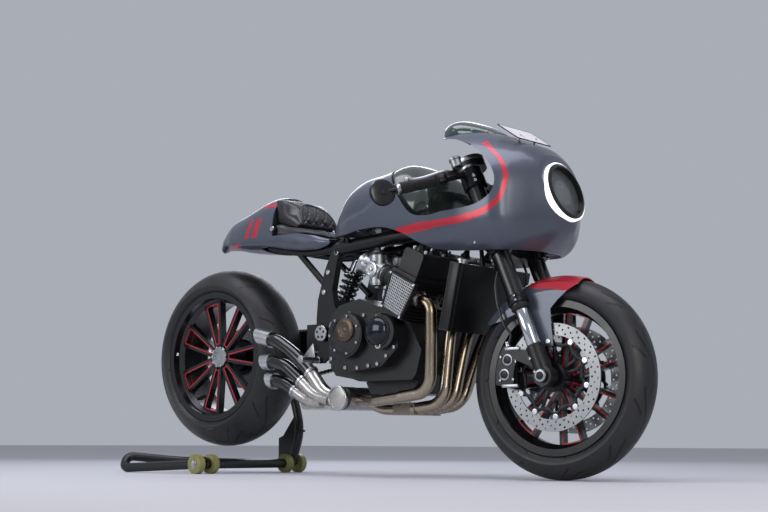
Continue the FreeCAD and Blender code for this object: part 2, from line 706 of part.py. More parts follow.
deck_front = engine_point(size("block_half_depth") + 10, size("block_foot"))
deck_rear = engine_point(-size("block_half_depth") - 10, size("block_foot"))
crankcase = new_body("crankcase")
add(crankcase, "XZ_Plane", [[
    ("-62", "350"), ("-40", "322"), ("34", "310"), ("60", "302"), ("280", "302"), ("296", "318"), ("318", "392"),
    (str(deck_front.x), str(deck_front.z)), (str(deck_rear.x), str(deck_rear.z)), ("60", "566"), ("-30", "548"),
    ("-62", "518")]], f"-{HALF}", HALF)
add(crankcase, "XZ_Plane", [[("48", "302"), ("68", "262"), ("236", "262"), ("272", "302")]],
    "-Sizes.sump_half_width", "Sizes.sump_half_width")


def cover(label, side, outline_points, depth, round_covers):
    """A side cover: a plate on the crankcase's flank with round domes over what turns inside."""
    body = new_body(label)
    low, high = (HALF, f"{HALF} + {depth}") if side > 0 else (f"-{HALF} - {depth}", f"-{HALF}")
    add(body, "XZ_Plane", [outline_points], low, high)
    for x, z, radius, reach in round_covers:
        near, far = (HALF, f"{HALF} + {reach}") if side > 0 else (f"-{HALF} - {reach}", f"-{HALF}")
        add(body, "XZ_Plane", [(x, z, radius)], near, far)
    return body


cover("right_engine_cover", -1, [("-30", "360"), ("60", "330"), ("190", "344"), ("258", "400"), ("258", "468"),
                                 ("176", "512"), ("60", "524"), ("-30", "500")],
      "42", [("58", "446", "72", "66"), ("205", "450", "52", "60")])
cover("left_engine_cover", 1, [("60", "352"), ("190", "344"), ("262", "400"), ("262", "464"), ("176", "512"),
                               ("60", "520")], "34", [("205", "440", "58", "58")])
left_cover = NODES["left_engine_cover"]
add(left_cover, "XZ_Plane", [[("-90", "398"), ("64", "398"), ("64", "526"), ("-90", "526")]],
    HALF, "Sizes.sprocket_offset + 24")
cut(left_cover, "XZ_Plane", [[("-96", "404"), ("42", "404"), ("42", "520"), ("-96", "520")]],
    HALF, "Sizes.sprocket_offset + 18")


def cylinder_layer(label, low, high, half_depth, half_width):
    body = new_body(label, ENGINE)
    add(body, "XY_Plane", [[
        (f"-{half_depth}", f"-{half_width}"), (half_depth, f"-{half_width}"),
        (half_depth, half_width), (f"-{half_depth}", half_width)]], low, high)
    return body


BLOCK = "Sizes.block_half_width"
DEPTH = "Sizes.block_half_depth"
cylinder_layer("cylinder_block", "Sizes.block_foot", "Sizes.block_top", DEPTH, BLOCK)
cylinder_layer("cylinder_head", "Sizes.block_top", "Sizes.head_top", f"({DEPTH} + 6)", f"({BLOCK} + 8)")
head = NODES["cylinder_head"]
add(head, "XY_Plane", [[
    (f"-{DEPTH} + 4", f"-{BLOCK} + 6"), (f"{DEPTH} - 4", f"-{BLOCK} + 6"),
    (f"{DEPTH} - 4", f"{BLOCK} - 6"), (f"-{DEPTH} + 4", f"{BLOCK} - 6")]], "Sizes.head_top", "Sizes.cam_cover_top")
rounded(head, "14", lambda edge: runs_along(edge, Vector(0, 1, 0)) and edge.CenterOfMass.z > size("cam_cover_top") - 1)

# Exhaust
PORTS = [(index - 1.5) * size("port_spacing") for index in range(4)]
port_place = engine_point(size("block_half_depth") + 6, size("port_height"))
# Each header, from its port: forward, down past the radiator's edge and back under the sump, gathered to the right
GATHERED = [(-158, 250), (-92, 214), (-46, 214), (0, 214)]
port_heading = ENGINE.Rotation.multVec(Vector(1, 0, 0))
headers = []
for across, (gathered, under) in zip(PORTS, GATHERED):
    inward = (across + gathered) / 2
    headers.append(tube([
        Vector(port_place.x, across, port_place.z),
        port_place + port_heading * 58 + Vector(0, across, 0),
        Vector(349, inward, 410),
        Vector(342, gathered, under + 14),
        Vector(222, gathered, under)], size("header_radius"), share=0.42))
LOG = Vector(size("muffler_forward"), 0, size("muffler_height"))
GATHER_X, GATHER_END = 240, 120


def level_frame(x, low_y, high_y, low_z, high_z):
    """A rectangle across the bike."""
    return Part.makePolygon([Vector(x, low_y, low_z), Vector(x, high_y, low_z), Vector(x, high_y, high_z),
                             Vector(x, low_y, high_z), Vector(x, low_y, low_z)])


# The flat cone takes the three lower headers into one pipe
cone = Part.makeLoft([level_frame(GATHER_X, -112, 20, 194, 234), level_frame(GATHER_END, -76, -28, 196, 232)], True, True)
link = tube([Vector(GATHER_END + 6, -52, 214), Vector(60, -52, 214), Vector(LOG.x, -52, LOG.z)], 17, share=0.4)
upper_link = tube([Vector(222, -158, 250), Vector(130, -152, 240), Vector(60, -124, 238), Vector(LOG.x, -100, LOG.z)],
                  17, share=0.4)
muffler = Part.makeCylinder(size("muffler_radius"), 2 * size("muffler_half_length"),
                            LOG - Vector(0, size("muffler_half_length"), 0), Vector(0, 1, 0))
pipes = joined(headers + [cone, link, upper_link])
feature("header_pipes", pipes.cut(muffler))
chamber = Part.makeBox(190, 246, 48, Vector(LOG.x - 190, -147, LOG.z - size("muffler_radius") + 4))
chamber = chamber.makeFillet(18, [edge for edge in chamber.Edges
                                  if edge.BoundBox.XMax < LOG.x - 180 and runs_along(edge, Vector(0, 1, 0))])
OUT_Y = -size("outlet_side")
ROUTES = [[(-40, 250), (-112, 270), (-171, 337), (-250, 401), (-330, 447), (-358, 453)],
          [(-80, 246), (-150, 262), (-209, 309), (-286, 363), (-338, 377), (-352, 377)],
          [(-120, 242), (-182, 243), (-246, 278), (-290, 302), (-328, 312), (-340, 313)]]
# The middle outlet stands a little further out than the others, so that it passes the lowest one
OUTLET_SHIFTS = [0, -3, 3]
TIP_ENDS = [((-424, 486), (-408, 428)), ((-396, 402), (-380, 346)), ((-374, 337), (-358, 285))]
branches, outlets, tips = [], [], []
for route, shift, (upper_end, lower_end) in zip(ROUTES, OUTLET_SHIFTS, TIP_ENDS):
    places = [Vector(x, OUT_Y + shift, z) for x, z in route]
    seam = places[2]
    whole_pipe = tube(places, size("outlet_radius"), share=0.42)
    heading = (places[3] - places[1]).normalize()
    ahead = Part.makeBox(400, 200, 600, Vector(0, -100, -300))
    ahead.Placement = App.Placement(seam, App.Rotation(Vector(1, 0, 0), heading))
    branches.append(whole_pipe.cut(ahead))
    outlets.append(whole_pipe.common(ahead))
    last = places[-1]
    exit_heading = (last - places[-2]).normalize()
    band = Part.makeCylinder(size("tip_radius"), 90, last, exit_heading)
    inside = Part.makeCylinder(size("tip_radius") - size("tip_wall"), 90, last + exit_heading * 12, exit_heading)
    slash = Part.makeBox(200, 200, 300, Vector(0, -100, -150))
    normal = Vector(upper_end[1] - lower_end[1], 0, lower_end[0] - upper_end[0]).normalize() * -1
    slash.Placement = App.Placement(Vector(upper_end[0], OUT_Y, upper_end[1]), App.Rotation(Vector(1, 0, 0), normal))
    tips.append(band.cut(inside).cut(slash))
feature("muffler_log", joined([muffler, chamber] + branches))
feature("outlet_pipes", Part.makeCompound(outlets))
feature("outlet_tips", Part.makeCompound(tips))

# Bodywork
def section(x, half, top, middle, bottom, power=2.4, count=24):
    """A closed, rounded section across the bike at a place along it."""
    points = []
    for step in range(count):
        angle = 2 * math.pi * step / count
        c, s = math.cos(angle), math.sin(angle)
        across = half * math.copysign(abs(c) ** (2 / power), c)
        rise = top - middle if s > 0 else middle - bottom
        up = middle + rise * math.copysign(abs(s) ** (2 / power), s)
        points.append(Vector(x, across, up))
    curve = Part.BSplineCurve()
    curve.interpolate(points, PeriodicFlag=True)
    return Part.Wire(curve.toShape())


def lofted(stations, inset=0.0):
    """A solid through stations of (x, half width, top, widest height, bottom), shrunk by an inset."""
    wires = [section(x, half - inset, top - inset, middle, bottom + inset) for x, half, top, middle, bottom in stations]
    return Part.makeLoft(wires, True, False)


SHELL = [
    (-116, 104, 800, 770, 740), (-98, 122, 858, 775, 720), (-72, 136, 915, 790, 700), (-42, 150, 955, 800, 690),
    (14, 164, 980, 810, 680), (100, 178, 990, 815, 670), (180, 190, 1008, 812, 660), (260, 198, 1045, 808, 656),
    (340, 206, 1080, 800, 652), (420, 216, 1084, 795, 652), (507, 226, 1068, 790, 652), (600, 226, 1034, 795, 655),
    (640, 212, 1016, 800, 662), (664, 188, 1006, 800, 672), (690, 154, 984, 815, 690), (710, 124, 964, 830, 706),
    (728, 98, 944, 840, 722), (744, 74, 925, 842, 740), (762, 40, 884, 838, 770)]
LAMP = Vector(size("lamp_forward"), 0, size("lamp_height"))
LAMP_TURN = App.Rotation(Vector(0, 1, 0), 90 - size("lamp_tilt"))
LAMP_PLACE = App.Placement(LAMP, LAMP_TURN)


def beyond_lamp(depth):
    """Everything ahead of the lamp's plane, moved back by a depth."""
    block = Part.makeBox(900, 900, 400, Vector(-450, -450, -depth))
    block.Placement = LAMP_PLACE
    return block


LOWER_EDGE = [(-140, 500), (-140, 790), (-97, 784), (-25, 782), (60, 790), (162, 787), (246, 763), (320, 724),
              (384, 699), (480, 688), (590, 683), (788, 680), (900, 680), (900, 500)]
COCKPIT = [(-200, 1300), (-200, 1100), (40, 1040), (130, 985), (190, 930), (250, 862), (331, 814), (415, 806), (500, 830),
           (580, 862), (632, 905), (640, 950), (610, 1000), (540, 1040), (440, 1062), (336, 1066), (336, 1300)]
outer_form = lofted(SHELL).cut(beyond_lamp(0))
inner_form = lofted(SHELL, size("shell_wall")).cut(beyond_lamp(size("shell_wall")))
below = prism(LOWER_EDGE, -400, 400)
cockpit = prism(COCKPIT, -400, 400)
lamp_hole = Part.makeCylinder(size("lamp_ring_radius"), 200, Vector(0, 0, -100))
lamp_hole.Placement = LAMP_PLACE
TANK = [(-30, 100, 918, 835, 780), (0, 126, 948, 840, 780), (60, 146, 972, 842, 780), (105, 154, 981, 842, 780),
        (148, 160, 1001, 842, 780), (220, 166, 990, 842, 780), (280, 160, 955, 842, 780), (318, 140, 905, 842, 780)]
tank_base = Part.makeBox(600, 600, 200, Vector(-100, -300, size("tank_floor") - 200))
feature("fuel_tank", lofted(TANK).cut(tank_base))
skin = outer_form.cut(inner_form).cut(below).cut(cockpit).cut(lamp_hole).cut(lofted(TANK, -size("tank_clearance")))
feature("body_shell", max(skin.Solids, key=lambda piece: piece.Volume))

SCREEN = [(326, 66, 1118, 1080, 1050), (350, 76, 1126, 1080, 1050), (400, 82, 1120, 1078, 1050),
          (460, 70, 1098, 1070, 1040), (510, 36, 1070, 1060, 1040)]
feature("fly_screen", lofted(SCREEN).cut(outer_form))
plate_place = App.Placement(Vector(588, 0, 1054), App.Rotation(Vector(0, 1, 0), size("plate_tilt")))
sheet_metal = Part.makeBox(size("plate_length"), size("plate_width"), size("plate_thickness"),
                           Vector(-size("plate_length") / 2, -size("plate_width") / 2, 0))
posts = [Part.makeCylinder(4, 90, Vector(18, side * 40, -90)) for side in (1, -1)]
plate_piece = joined([sheet_metal] + posts)
plate_piece.Placement = plate_place
feature("number_plate", plate_piece.cut(outer_form))

# Lamp, in a frame whose +Z looks out along the beam
lamp_ring = new_body("headlamp_ring", LAMP_PLACE)
spin(lamp_ring, [("Sizes.lamp_radius", "-26"), ("Sizes.lamp_radius + 6", "-26"), ("Sizes.lamp_ring_radius", "-10"),
                 ("Sizes.lamp_ring_radius", "8"), ("Sizes.lamp_radius", "14")], role="XZ_Plane")
lamp_bowl = new_body("headlamp_bowl", LAMP_PLACE)
spin(lamp_bowl, [("0", "-64"), ("48", "-60"), ("Sizes.lamp_radius", "-26"), ("Sizes.lamp_radius", "-6"),
                 ("Sizes.lamp_radius - 4", "-6"), ("Sizes.lamp_radius - 4", "-24"), ("45", "-56"), ("0", "-60")],
     role="XZ_Plane")
lamp_lens = new_body("headlamp_lens", LAMP_PLACE)
spin(lamp_lens, [("0", "2"), ("Sizes.lamp_radius", "-6"), ("Sizes.lamp_radius", "-2"), ("0", "6")], role="XZ_Plane")

# Tail and seat
TAIL = [(-744, 16, 826, 820, 815), (-700, 60, 862, 818, 800), (-600, 100, 915, 812, 782), (-500, 118, 948, 806, 770),
        (-409, 128, 961, 800, 758), (-380, 131, 950, 800, 752), (-300, 134, 900, 790, 738), (-225, 132, 850, 780, 731),
        (-150, 126, 800, 775, 738), (-112, 110, 790, 768, 745)]
SEAT_LINE = [(-404, 950), (-384, 812), (-260, 812), (-200, 800), (-124, 782)]
tail_outer = lofted(TAIL)
tail_inner = lofted(TAIL[1:], size("tail_wall"))
above_seat = prism([(-413, 1100)] + SEAT_LINE + [(-60, 782), (-60, 1100)], -400, 400)
tail_skin = tail_outer.cut(tail_inner).cut(above_seat).cut(Part.makeBox(372, 232, 60, Vector(-470, -116, 720)))
feature("tail_cowl", max(tail_skin.Solids, key=lambda piece: piece.Volume))
under_seat = [(x - 5 if x < -380 else x, z - 5) for x, z in reversed(SEAT_LINE)]
seat_deck = prism(SEAT_LINE + under_seat, -400, 400).common(tail_inner)
feature("tail_tray", seat_deck)
feature("seat_pad", prism(SEAT_LINE[1:] + [(-122, 790), (-150, 806), (-240, 824), (-330, 842), (-390, 858)], -118, 118))
feature("hump_pad", prism([(-403, 945), (-390.6, 860), (-384, 857.2), (-330, 842.4), (-300, 836), (-272, 846), (-300, 890),
                           (-340, 930), (-366, 944)], -72, 72))

# Radiator
radiator = new_body("radiator", App.Placement(Vector(436, 0, 550), App.Rotation(Vector(0, 1, 0), 13)))
add(radiator, "XZ_Plane", [[("-Sizes.radiator_thickness / 2", "-105"), ("Sizes.radiator_thickness / 2", "-105"),
                            ("Sizes.radiator_thickness / 2", "105"), ("-Sizes.radiator_thickness / 2", "105")]],
    "-Sizes.radiator_half_width", "Sizes.radiator_half_width")
doc.recompute()
radiator_block = radiator.Shape

doc.recompute()
lamp_back = lamp_bowl.Shape.copy()

# Frame
STEM_AXIS = FORK.multVec(Vector(-size("fork_offset"), 0, 0))
UP_FORK = FORK.Rotation.multVec(Vector(0, 0, 1))
head_low = size("lower_clamp_height") + size("clamp_thickness") + size("head_tube_clearance")
head_high = size("upper_clamp_height") - size("head_tube_clearance")
head_tube = Part.makeCylinder(size("head_tube_radius"), head_high - head_low, STEM_AXIS + UP_FORK * head_low, UP_FORK)
head_middle = STEM_AXIS + UP_FORK * ((head_low + head_high) / 2)
inner = size("frame_half_width") - size("frame_plate_thickness")
plate = [(-47, 783), (-82, 706), (-103, 608), (-92, 556), (-62, 514), (-62, 482)]
plate += [(PIVOT.x + x, PIVOT.z + z) for x, z in ((36, -14), (18, -62), (-28, -68), (-43, -36), (-43, 20), (-42, 56))]
plate += [(-167, 579), (-136, 677), (-96, 758)]
plates = [prism(plate, side * inner if side > 0 else -size("frame_half_width"),
                size("frame_half_width") if side > 0 else -inner) for side in (1, -1)]
beams = []
for side in (1, -1):
    beam_half = size("frame_half_width") - size("frame_plate_thickness") / 2
    beams.append(tube([head_middle + Vector(-6, side * 10, -20), Vector(360, side * 92, 776),
                       Vector(200, side * beam_half, 766), Vector(-84, side * beam_half, 744)], 24, share=0.4))
SHOCK_TIE = (-84, 736)
ties = [rod(Vector(x, -inner - 4, z), Vector(x, inner + 4, z), 16) for x, z in (SHOCK_TIE, (-108, 560))]
ties.append(rod(PIVOT + Vector(-10, -inner - 4, -55), PIVOT + Vector(-10, inner + 4, -55), 13))
stem_hole = Part.makeCylinder(size("stem_radius") + size("axle_clearance"), 400,
                              STEM_AXIS + UP_FORK * (head_low - 50), UP_FORK)
bolt = [rod(PIVOT + Vector(0, -size("frame_half_width") - 22, 0), PIVOT + Vector(0, size("frame_half_width") + 12, 0),
            size("pivot_bolt_radius")),
        rod(PIVOT + Vector(0, -size("frame_half_width") - 12, 0), PIVOT + Vector(0, -inner, 0), 24)]
rests = [Part.makeBox(44, 22, size("tank_floor") - 770, Vector(110, side * beam_half - 11, 770)) for side in (1, -1)]
rad_stays = [rod(Vector(440, side * 34, 760), Vector(454, side * 34, 640), 7) for side in (1, -1)]
shell_stays = []
for x, z in ((-20, 760), (330, 782)):
    for side in (1, -1):
        start = Vector(x, side * 96, z)
        shell_stays.append(rod(start, Vector(x, side * 400, z + 30), 7).common(inner_form))
nose_stay = rod(head_middle + Vector(24, 0, 8), LAMP_PLACE.multVec(Vector(0, 0, -62)), 9).cut(lamp_back)
nose_bar = rod(Vector(600, -400, 822), Vector(600, 400, 822), 7).common(inner_form)
frame_shape = joined([head_tube] + beams + plates + ties + rests + rad_stays + shell_stays + [nose_stay, nose_bar])
frame_shape = joined([frame_shape.cut(stem_hole)] + bolt).cut(radiator_block)
feature("frame", frame_shape)
rails = []
for side in (1, -1):
    rails.append(tube([Vector(-70, side * 100, 752), Vector(-240, side * 92, 742), Vector(-390, side * 80, 770),
                       Vector(-452, side * 70, 786)], 13, share=0.4))
    rails.append(rod(Vector(-134, side * 100, 610), Vector(-300, side * 88, 756), 11))
    rails.append(rod(Vector(-320, side * 86, 754), Vector(-320, side * 86, 811), 9))
rails.append(rod(Vector(-430, -80, 780), Vector(-430, 80, 780), 11))
feature("subframe", joined(rails).cut(frame_shape).cut(seat_deck))
# Swingarm, on the left only
swingarm = new_body("swingarm", App.Placement(PIVOT, App.Rotation()))
run = AXLE_REAR - PIVOT
inner_side = "Sizes.frame_half_width - Sizes.frame_plate_thickness - 0.5"
arm_inner = "Sizes.arm_outer - Sizes.arm_thickness"
add(swingarm, "XZ_Plane", [("0", "0", "Sizes.pivot_tube_radius")], f"-({inner_side})", inner_side)
add(swingarm, "XZ_Plane", [[("-20", "-28"), ("-56", "-50"), ("-150", "-52"), ("-150", "40"), ("-56", "40"), ("-20", "28")]],
    "-60", inner_side)
add(swingarm, "XZ_Plane", [[("-60", "-50"), ("-150", "-52"), ("-150", "40"), ("-60", "40")]], "-60", arm_inner)
add(swingarm, "XZ_Plane", [[
    ("-48", "-50"), ("-200", "-62"), ("-420", "-84"), (str(run.x), "-118"), (str(run.x), "12"), ("-420", "30"),
    ("-200", "48"), ("-48", "36")]], arm_inner, "Sizes.arm_outer")
add(swingarm, "XZ_Plane", [(str(run.x), str(run.z), "Sizes.carrier_radius")],
    "Sizes.rear_hub_left + Sizes.rear_disc_thickness + 9", "Sizes.arm_outer + 8")
cut(swingarm, "XZ_Plane", [(str(run.x), str(run.z), "Sizes.spindle_radius + Sizes.axle_clearance")],
    "0", "Sizes.arm_outer + 20")
cut(swingarm, "XZ_Plane", [("0", "0", "Sizes.pivot_bolt_radius")], "-200", "200")

foot_point = PIVOT + Vector(-76, 0, 48)
tie_point = Vector(SHOCK_TIE[0], 0, SHOCK_TIE[1])
lean = math.degrees(math.atan2(tie_point.x - foot_point.x, tie_point.z - foot_point.z))
shock_length = (tie_point - foot_point).Length - 16.3
shock = new_body("shock", App.Placement(foot_point, App.Rotation(Vector(0, 1, 0), lean)))
spin(shock, [("0", "0"), ("14", "0"), ("14", "26"), ("34", "26"), ("34", "190"), ("22", "190"),
             ("22", str(shock_length)), ("0", str(shock_length))], role="XZ_Plane")

# Carburettors and footrests
carburettors = []
intake = engine_point(-size("block_half_depth") - 6, 170)
back = ENGINE.Rotation.multVec(Vector(-1, 0, 0))
for across in PORTS:
    start = Vector(intake.x, across, intake.z)
    carburettors.append(Part.makeCylinder(25, 62, start, back))
    carburettors.append(Part.makeCylinder(31, 74, start + back * 58, back))
    carburettors.append(Part.makeCylinder(27, 92, start + back * 88 + Vector(0, 0, -44), Vector(0, 0, 1)))
carburettors.append(rod(intake + back * 52 + Vector(0, PORTS[0], 24), intake + back * 52 + Vector(0, PORTS[3], 24), 8))
feature("carburettors", joined(carburettors))
rearsets = []
for side, name in ((1, "left"), (-1, "right")):
    face = side * size("frame_half_width")
    plate_rest = prism([(PIVOT.x + x, PIVOT.z + z) for x, z in ((44, -25), (62, -46), (2, -98), (-38, -98), (-36, -73), (0, -25))],
                       min(face, face + side * 8), max(face, face + side * 8))
    peg = rod(PIVOT + Vector(-20, face + side * 8, -88), PIVOT + Vector(-20, face + side * 96, -88), 10)
    rearsets.append(joined([plate_rest, peg]))
    feature(name + "_rearset", rearsets[-1].cut(frame_shape))

# Side panel of the engine: a framed grille outboard of the block's right end
GRILLE = [(238, 640), (337, 588), (274, 486), (196, 530)]
GRILLE_Y = -size("block_half_width") - 8
centre_x, centre_z = sum(x for x, z in GRILLE) / 4, sum(z for x, z in GRILLE) / 4
opening = [(centre_x + (x - centre_x) * 0.86, centre_z + (z - centre_z) * 0.86) for x, z in GRILLE]
grille = prism(GRILLE, GRILLE_Y - 14, GRILLE_Y).cut(prism(opening, GRILLE_Y - 15, GRILLE_Y + 1))
(ax, az), (bx, bz), (cx, cz), (dx, dz) = opening
bars = []
for step in range(1, 8):
    part = step / 8
    bars.append(((ax + (bx - ax) * part, az + (bz - az) * part), (dx + (cx - dx) * part, dz + (cz - dz) * part)))
    bars.append(((ax + (dx - ax) * part, az + (dz - az) * part), (bx + (cx - bx) * part, bz + (cz - bz) * part)))
grille = joined([grille] + [rod(Vector(x1, GRILLE_Y - 7, z1), Vector(x2, GRILLE_Y - 7, z2), 2.6)
                            for (x1, z1), (x2, z2) in bars])
feature("right_side_grille", grille)

# Paddock stand
R = size("stand_tube_radius")
STAND_X = AXLE_REAR.x + size("stand_axle_ahead")
FLOOR_LINE = FLOOR + size("stand_roller_radius")
wide = size("stand_half_width")
# From the cross tube's right end back to the raised corner, then slanting forward to its left part
handle = tube([Vector(STAND_X, -wide, FLOOR_LINE), Vector(STAND_X - 372, -wide - 48, FLOOR + R),
               Vector(STAND_X - 394, -wide - 11, FLOOR + 58), Vector(STAND_X - 234, -75, FLOOR + 38),
               Vector(STAND_X, 150, FLOOR_LINE)], R, share=0.42)
half_axle = wide + size("stand_roller_spacing") / 2 + size("stand_roller_width") / 2 + 4
cross = rod(Vector(STAND_X, -wide, FLOOR_LINE), Vector(STAND_X, wide, FLOOR_LINE), R)
axle_pin = rod(Vector(STAND_X, -half_axle, FLOOR_LINE), Vector(STAND_X, half_axle, FLOOR_LINE), 6)
upright = tube([Vector(STAND_X, wide, FLOOR_LINE), Vector(STAND_X + 40, wide + 3, FLOOR + 150),
                Vector(STAND_X - 3, wide + 15, FLOOR + 262), Vector(AXLE_REAR.x, wide + 27, AXLE_REAR.z),
                Vector(AXLE_REAR.x, size("spindle_end"), AXLE_REAR.z)], R, share=0.4)
foot_plate = prism([(STAND_X - 62, FLOOR + 34), (STAND_X + 8, FLOOR + 24), (STAND_X + 36, FLOOR + 196),
                    (STAND_X + 18, FLOOR + 206), (STAND_X - 40, FLOOR + 132), (STAND_X - 62, FLOOR + 124)],
                   wide - 7, wide + 1)
pin = rod(Vector(AXLE_REAR.x, 232, AXLE_REAR.z), Vector(AXLE_REAR.x, size("spindle_end") - size("stand_pin_reach"), AXLE_REAR.z),
          size("stand_pin_radius"))
feature("paddock_stand", joined([handle, cross, axle_pin, upright, foot_plate, pin]))
for side, name in ((-1, "right"), (1, "left")):
    rollers = []
    for inward, bore in ((1, R + size("axle_clearance")), (-1, 6 + size("axle_clearance"))):
        middle = side * (wide - inward * size("stand_roller_spacing") / 2)
        low = Vector(0, middle - size("stand_roller_width") / 2, 0)
        ring = Part.makeCylinder(size("stand_roller_radius"), size("stand_roller_width"), low, Vector(0, 1, 0))
        rollers.append(ring.cut(Part.makeCylinder(bore, size("stand_roller_width"), low, Vector(0, 1, 0))))
    feature(name + "_rollers", Part.makeCompound(rollers), App.Placement(Vector(STAND_X, 0, FLOOR_LINE), App.Rotation()))


# The finished bike is moved from the side drawing, so that its origin is on the floor half way between the axles
TO_FLOOR = App.Placement(Vector(-(AXLE_FRONT.x + AXLE_REAR.x) / 2, 0, -FLOOR), App.Rotation())
for piece in NODES.values():
    piece.Placement = TO_FLOOR.multiply(piece.Placement)

# Check every object, then write one file for each piece
os.makedirs("parts", exist_ok=True)
doc.recompute()
failed = [item.Label for item in doc.Objects if "Invalid" in item.State or "Error" in item.State]
failed += [label for label, piece in NODES.items() if piece.Shape.isNull() or not piece.Shape.isValid()]
if failed:
    raise RuntimeError("pieces that failed: " + ", ".join(failed))
for label, piece in NODES.items():
    piece.Shape.exportStep(f"parts/{label}.step")
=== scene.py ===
import math
import bmesh
import bpy
from mathutils import Matrix, Vector


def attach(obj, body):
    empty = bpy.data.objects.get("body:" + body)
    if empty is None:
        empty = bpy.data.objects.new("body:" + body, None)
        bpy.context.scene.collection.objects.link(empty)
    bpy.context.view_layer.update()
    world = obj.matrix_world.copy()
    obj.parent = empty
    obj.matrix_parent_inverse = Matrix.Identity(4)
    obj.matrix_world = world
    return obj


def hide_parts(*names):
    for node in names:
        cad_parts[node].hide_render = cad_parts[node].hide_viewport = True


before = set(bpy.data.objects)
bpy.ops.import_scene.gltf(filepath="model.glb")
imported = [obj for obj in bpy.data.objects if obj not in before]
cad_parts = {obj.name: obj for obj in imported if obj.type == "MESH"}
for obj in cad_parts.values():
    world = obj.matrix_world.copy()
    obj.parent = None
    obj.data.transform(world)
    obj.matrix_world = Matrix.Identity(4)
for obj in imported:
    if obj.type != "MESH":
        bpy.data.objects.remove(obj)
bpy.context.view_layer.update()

# Studio: a pale floor and a soft ceiling, photographed from low down at the machine's right front.
# The floor is matt painted board; the light is one wide overhead panel, one from the front and one from behind.
MM = 0.001
CAMERA_PLACE = Vector((3.2232, -3.6787, 0.1091))
CAMERA_YAW, CAMERA_PITCH, CAMERA_ROLL = math.radians(131.1), math.radians(7.183), math.radians(0.239)
CAMERA_LENS = 69.38


def colour(code):
    """An sRGB hex code as linear red, green, blue and alpha."""
    channels = [int(code[i:i + 2], 16) / 255 for i in (1, 3, 5)]
    return tuple(c / 12.92 if c <= 0.04045 else ((c + 0.055) / 1.055) ** 2.4 for c in channels) + (1.0,)


def node(tree, kind, settings=None, links=None):
    """Adds a shader node, sets its fields and sockets, and links what feeds it."""
    made = tree.nodes.new(kind)
    for name, value in (settings or {}).items():
        if isinstance(name, str) and hasattr(made, name):
            setattr(made, name, value)
        else:
            made.inputs[name].default_value = value
    for name, source in (links or {}).items():
        tree.links.new(source, made.inputs[name])
    return made


def maths(tree, operation, *values):
    """A maths node: numbers are set, sockets are linked and None is left. Gives its result."""
    made = node(tree, "ShaderNodeMath", {"operation": operation})
    for place, value in enumerate(values):
        if isinstance(value, bpy.types.NodeSocket):
            tree.links.new(value, made.inputs[place])
        elif value is not None:
            made.inputs[place].default_value = value
    return made.outputs[0]


def ramp(tree, source, *stops):
    """A colour ramp between two (position, colour) stops. Gives its colour."""
    made = node(tree, "ShaderNodeValToRGB", links={"Fac": source})
    for element, (position, shade) in zip(made.color_ramp.elements, stops):
        element.position, element.color = position, shade
    return made.outputs["Color"]


def clear():
    """Back to object mode with nothing selected."""
    if bpy.context.object and bpy.context.mode != "OBJECT":
        bpy.ops.object.mode_set(mode="OBJECT")
    bpy.ops.object.select_all(action="DESELECT")


clear()
camera_data = bpy.data.cameras.new("photo_camera")
camera_data.lens = CAMERA_LENS
camera_data.clip_end = 60
camera = bpy.data.objects.new("photo_camera", camera_data)
bpy.context.scene.collection.objects.link(camera)
looking = Vector((math.cos(CAMERA_PITCH) * math.cos(CAMERA_YAW), math.cos(CAMERA_PITCH) * math.sin(CAMERA_YAW),
                  math.sin(CAMERA_PITCH)))
level_right = looking.cross(Vector((0, 0, 1))).normalized()
camera_right = (level_right * math.cos(CAMERA_ROLL)
                + level_right.cross(looking) * math.sin(CAMERA_ROLL)).normalized()
camera_up = camera_right.cross(looking)
camera.matrix_world = Matrix.Translation(CAMERA_PLACE) @ Matrix((camera_right, camera_up,
        -looking)).transposed().to_4x4()
bpy.context.scene.camera = camera
bpy.context.scene.view_settings.view_transform = "Standard"

bpy.ops.mesh.primitive_plane_add(size=60, location=(0, 0, 0))
floor = bpy.context.object
floor.name = "studio_floor"
floor_paint = bpy.data.materials.new("matt_floor_board")
floor_paint.use_nodes = True
floor_shader = floor_paint.node_tree.nodes["Principled BSDF"]
floor_shader.inputs["Base Color"].default_value = colour("#c9cad0")
floor_shader.inputs["Roughness"].default_value = 0.75
floor.data.materials.append(floor_paint)

world = bpy.data.worlds.new("studio_world")
bpy.context.scene.world = world
world.use_nodes = True
sky = world.node_tree
sky.nodes.clear()
direction = node(sky, "ShaderNodeTexCoord")
height = node(sky, "ShaderNodeSeparateXYZ", links={"Vector": direction.outputs["Generated"]})
fade = ramp(sky, height.outputs["Z"], (0.0, colour("#6f727b")), (0.75, colour("#dfe2ea")))
ambient = node(sky, "ShaderNodeBackground", {"Strength": 0.62}, {"Color": fade})
backdrop = node(sky, "ShaderNodeBackground", {"Color": colour("#a9adb6"), "Strength": 1.0})
rays = node(sky, "ShaderNodeLightPath")
seen_or_mirrored = maths(sky, "ADD", rays.outputs["Is Camera Ray"], rays.outputs["Is Glossy Ray"])
any_view = maths(sky, "ADD", seen_or_mirrored, rays.outputs["Is Transmission Ray"])
any_view.node.use_clamp = True
shown = node(sky, "ShaderNodeMixShader",
             links={0: any_view, 1: ambient.outputs["Background"], 2: backdrop.outputs["Background"]})
node(sky, "ShaderNodeOutputWorld", links={"Surface": shown.outputs["Shader"]})


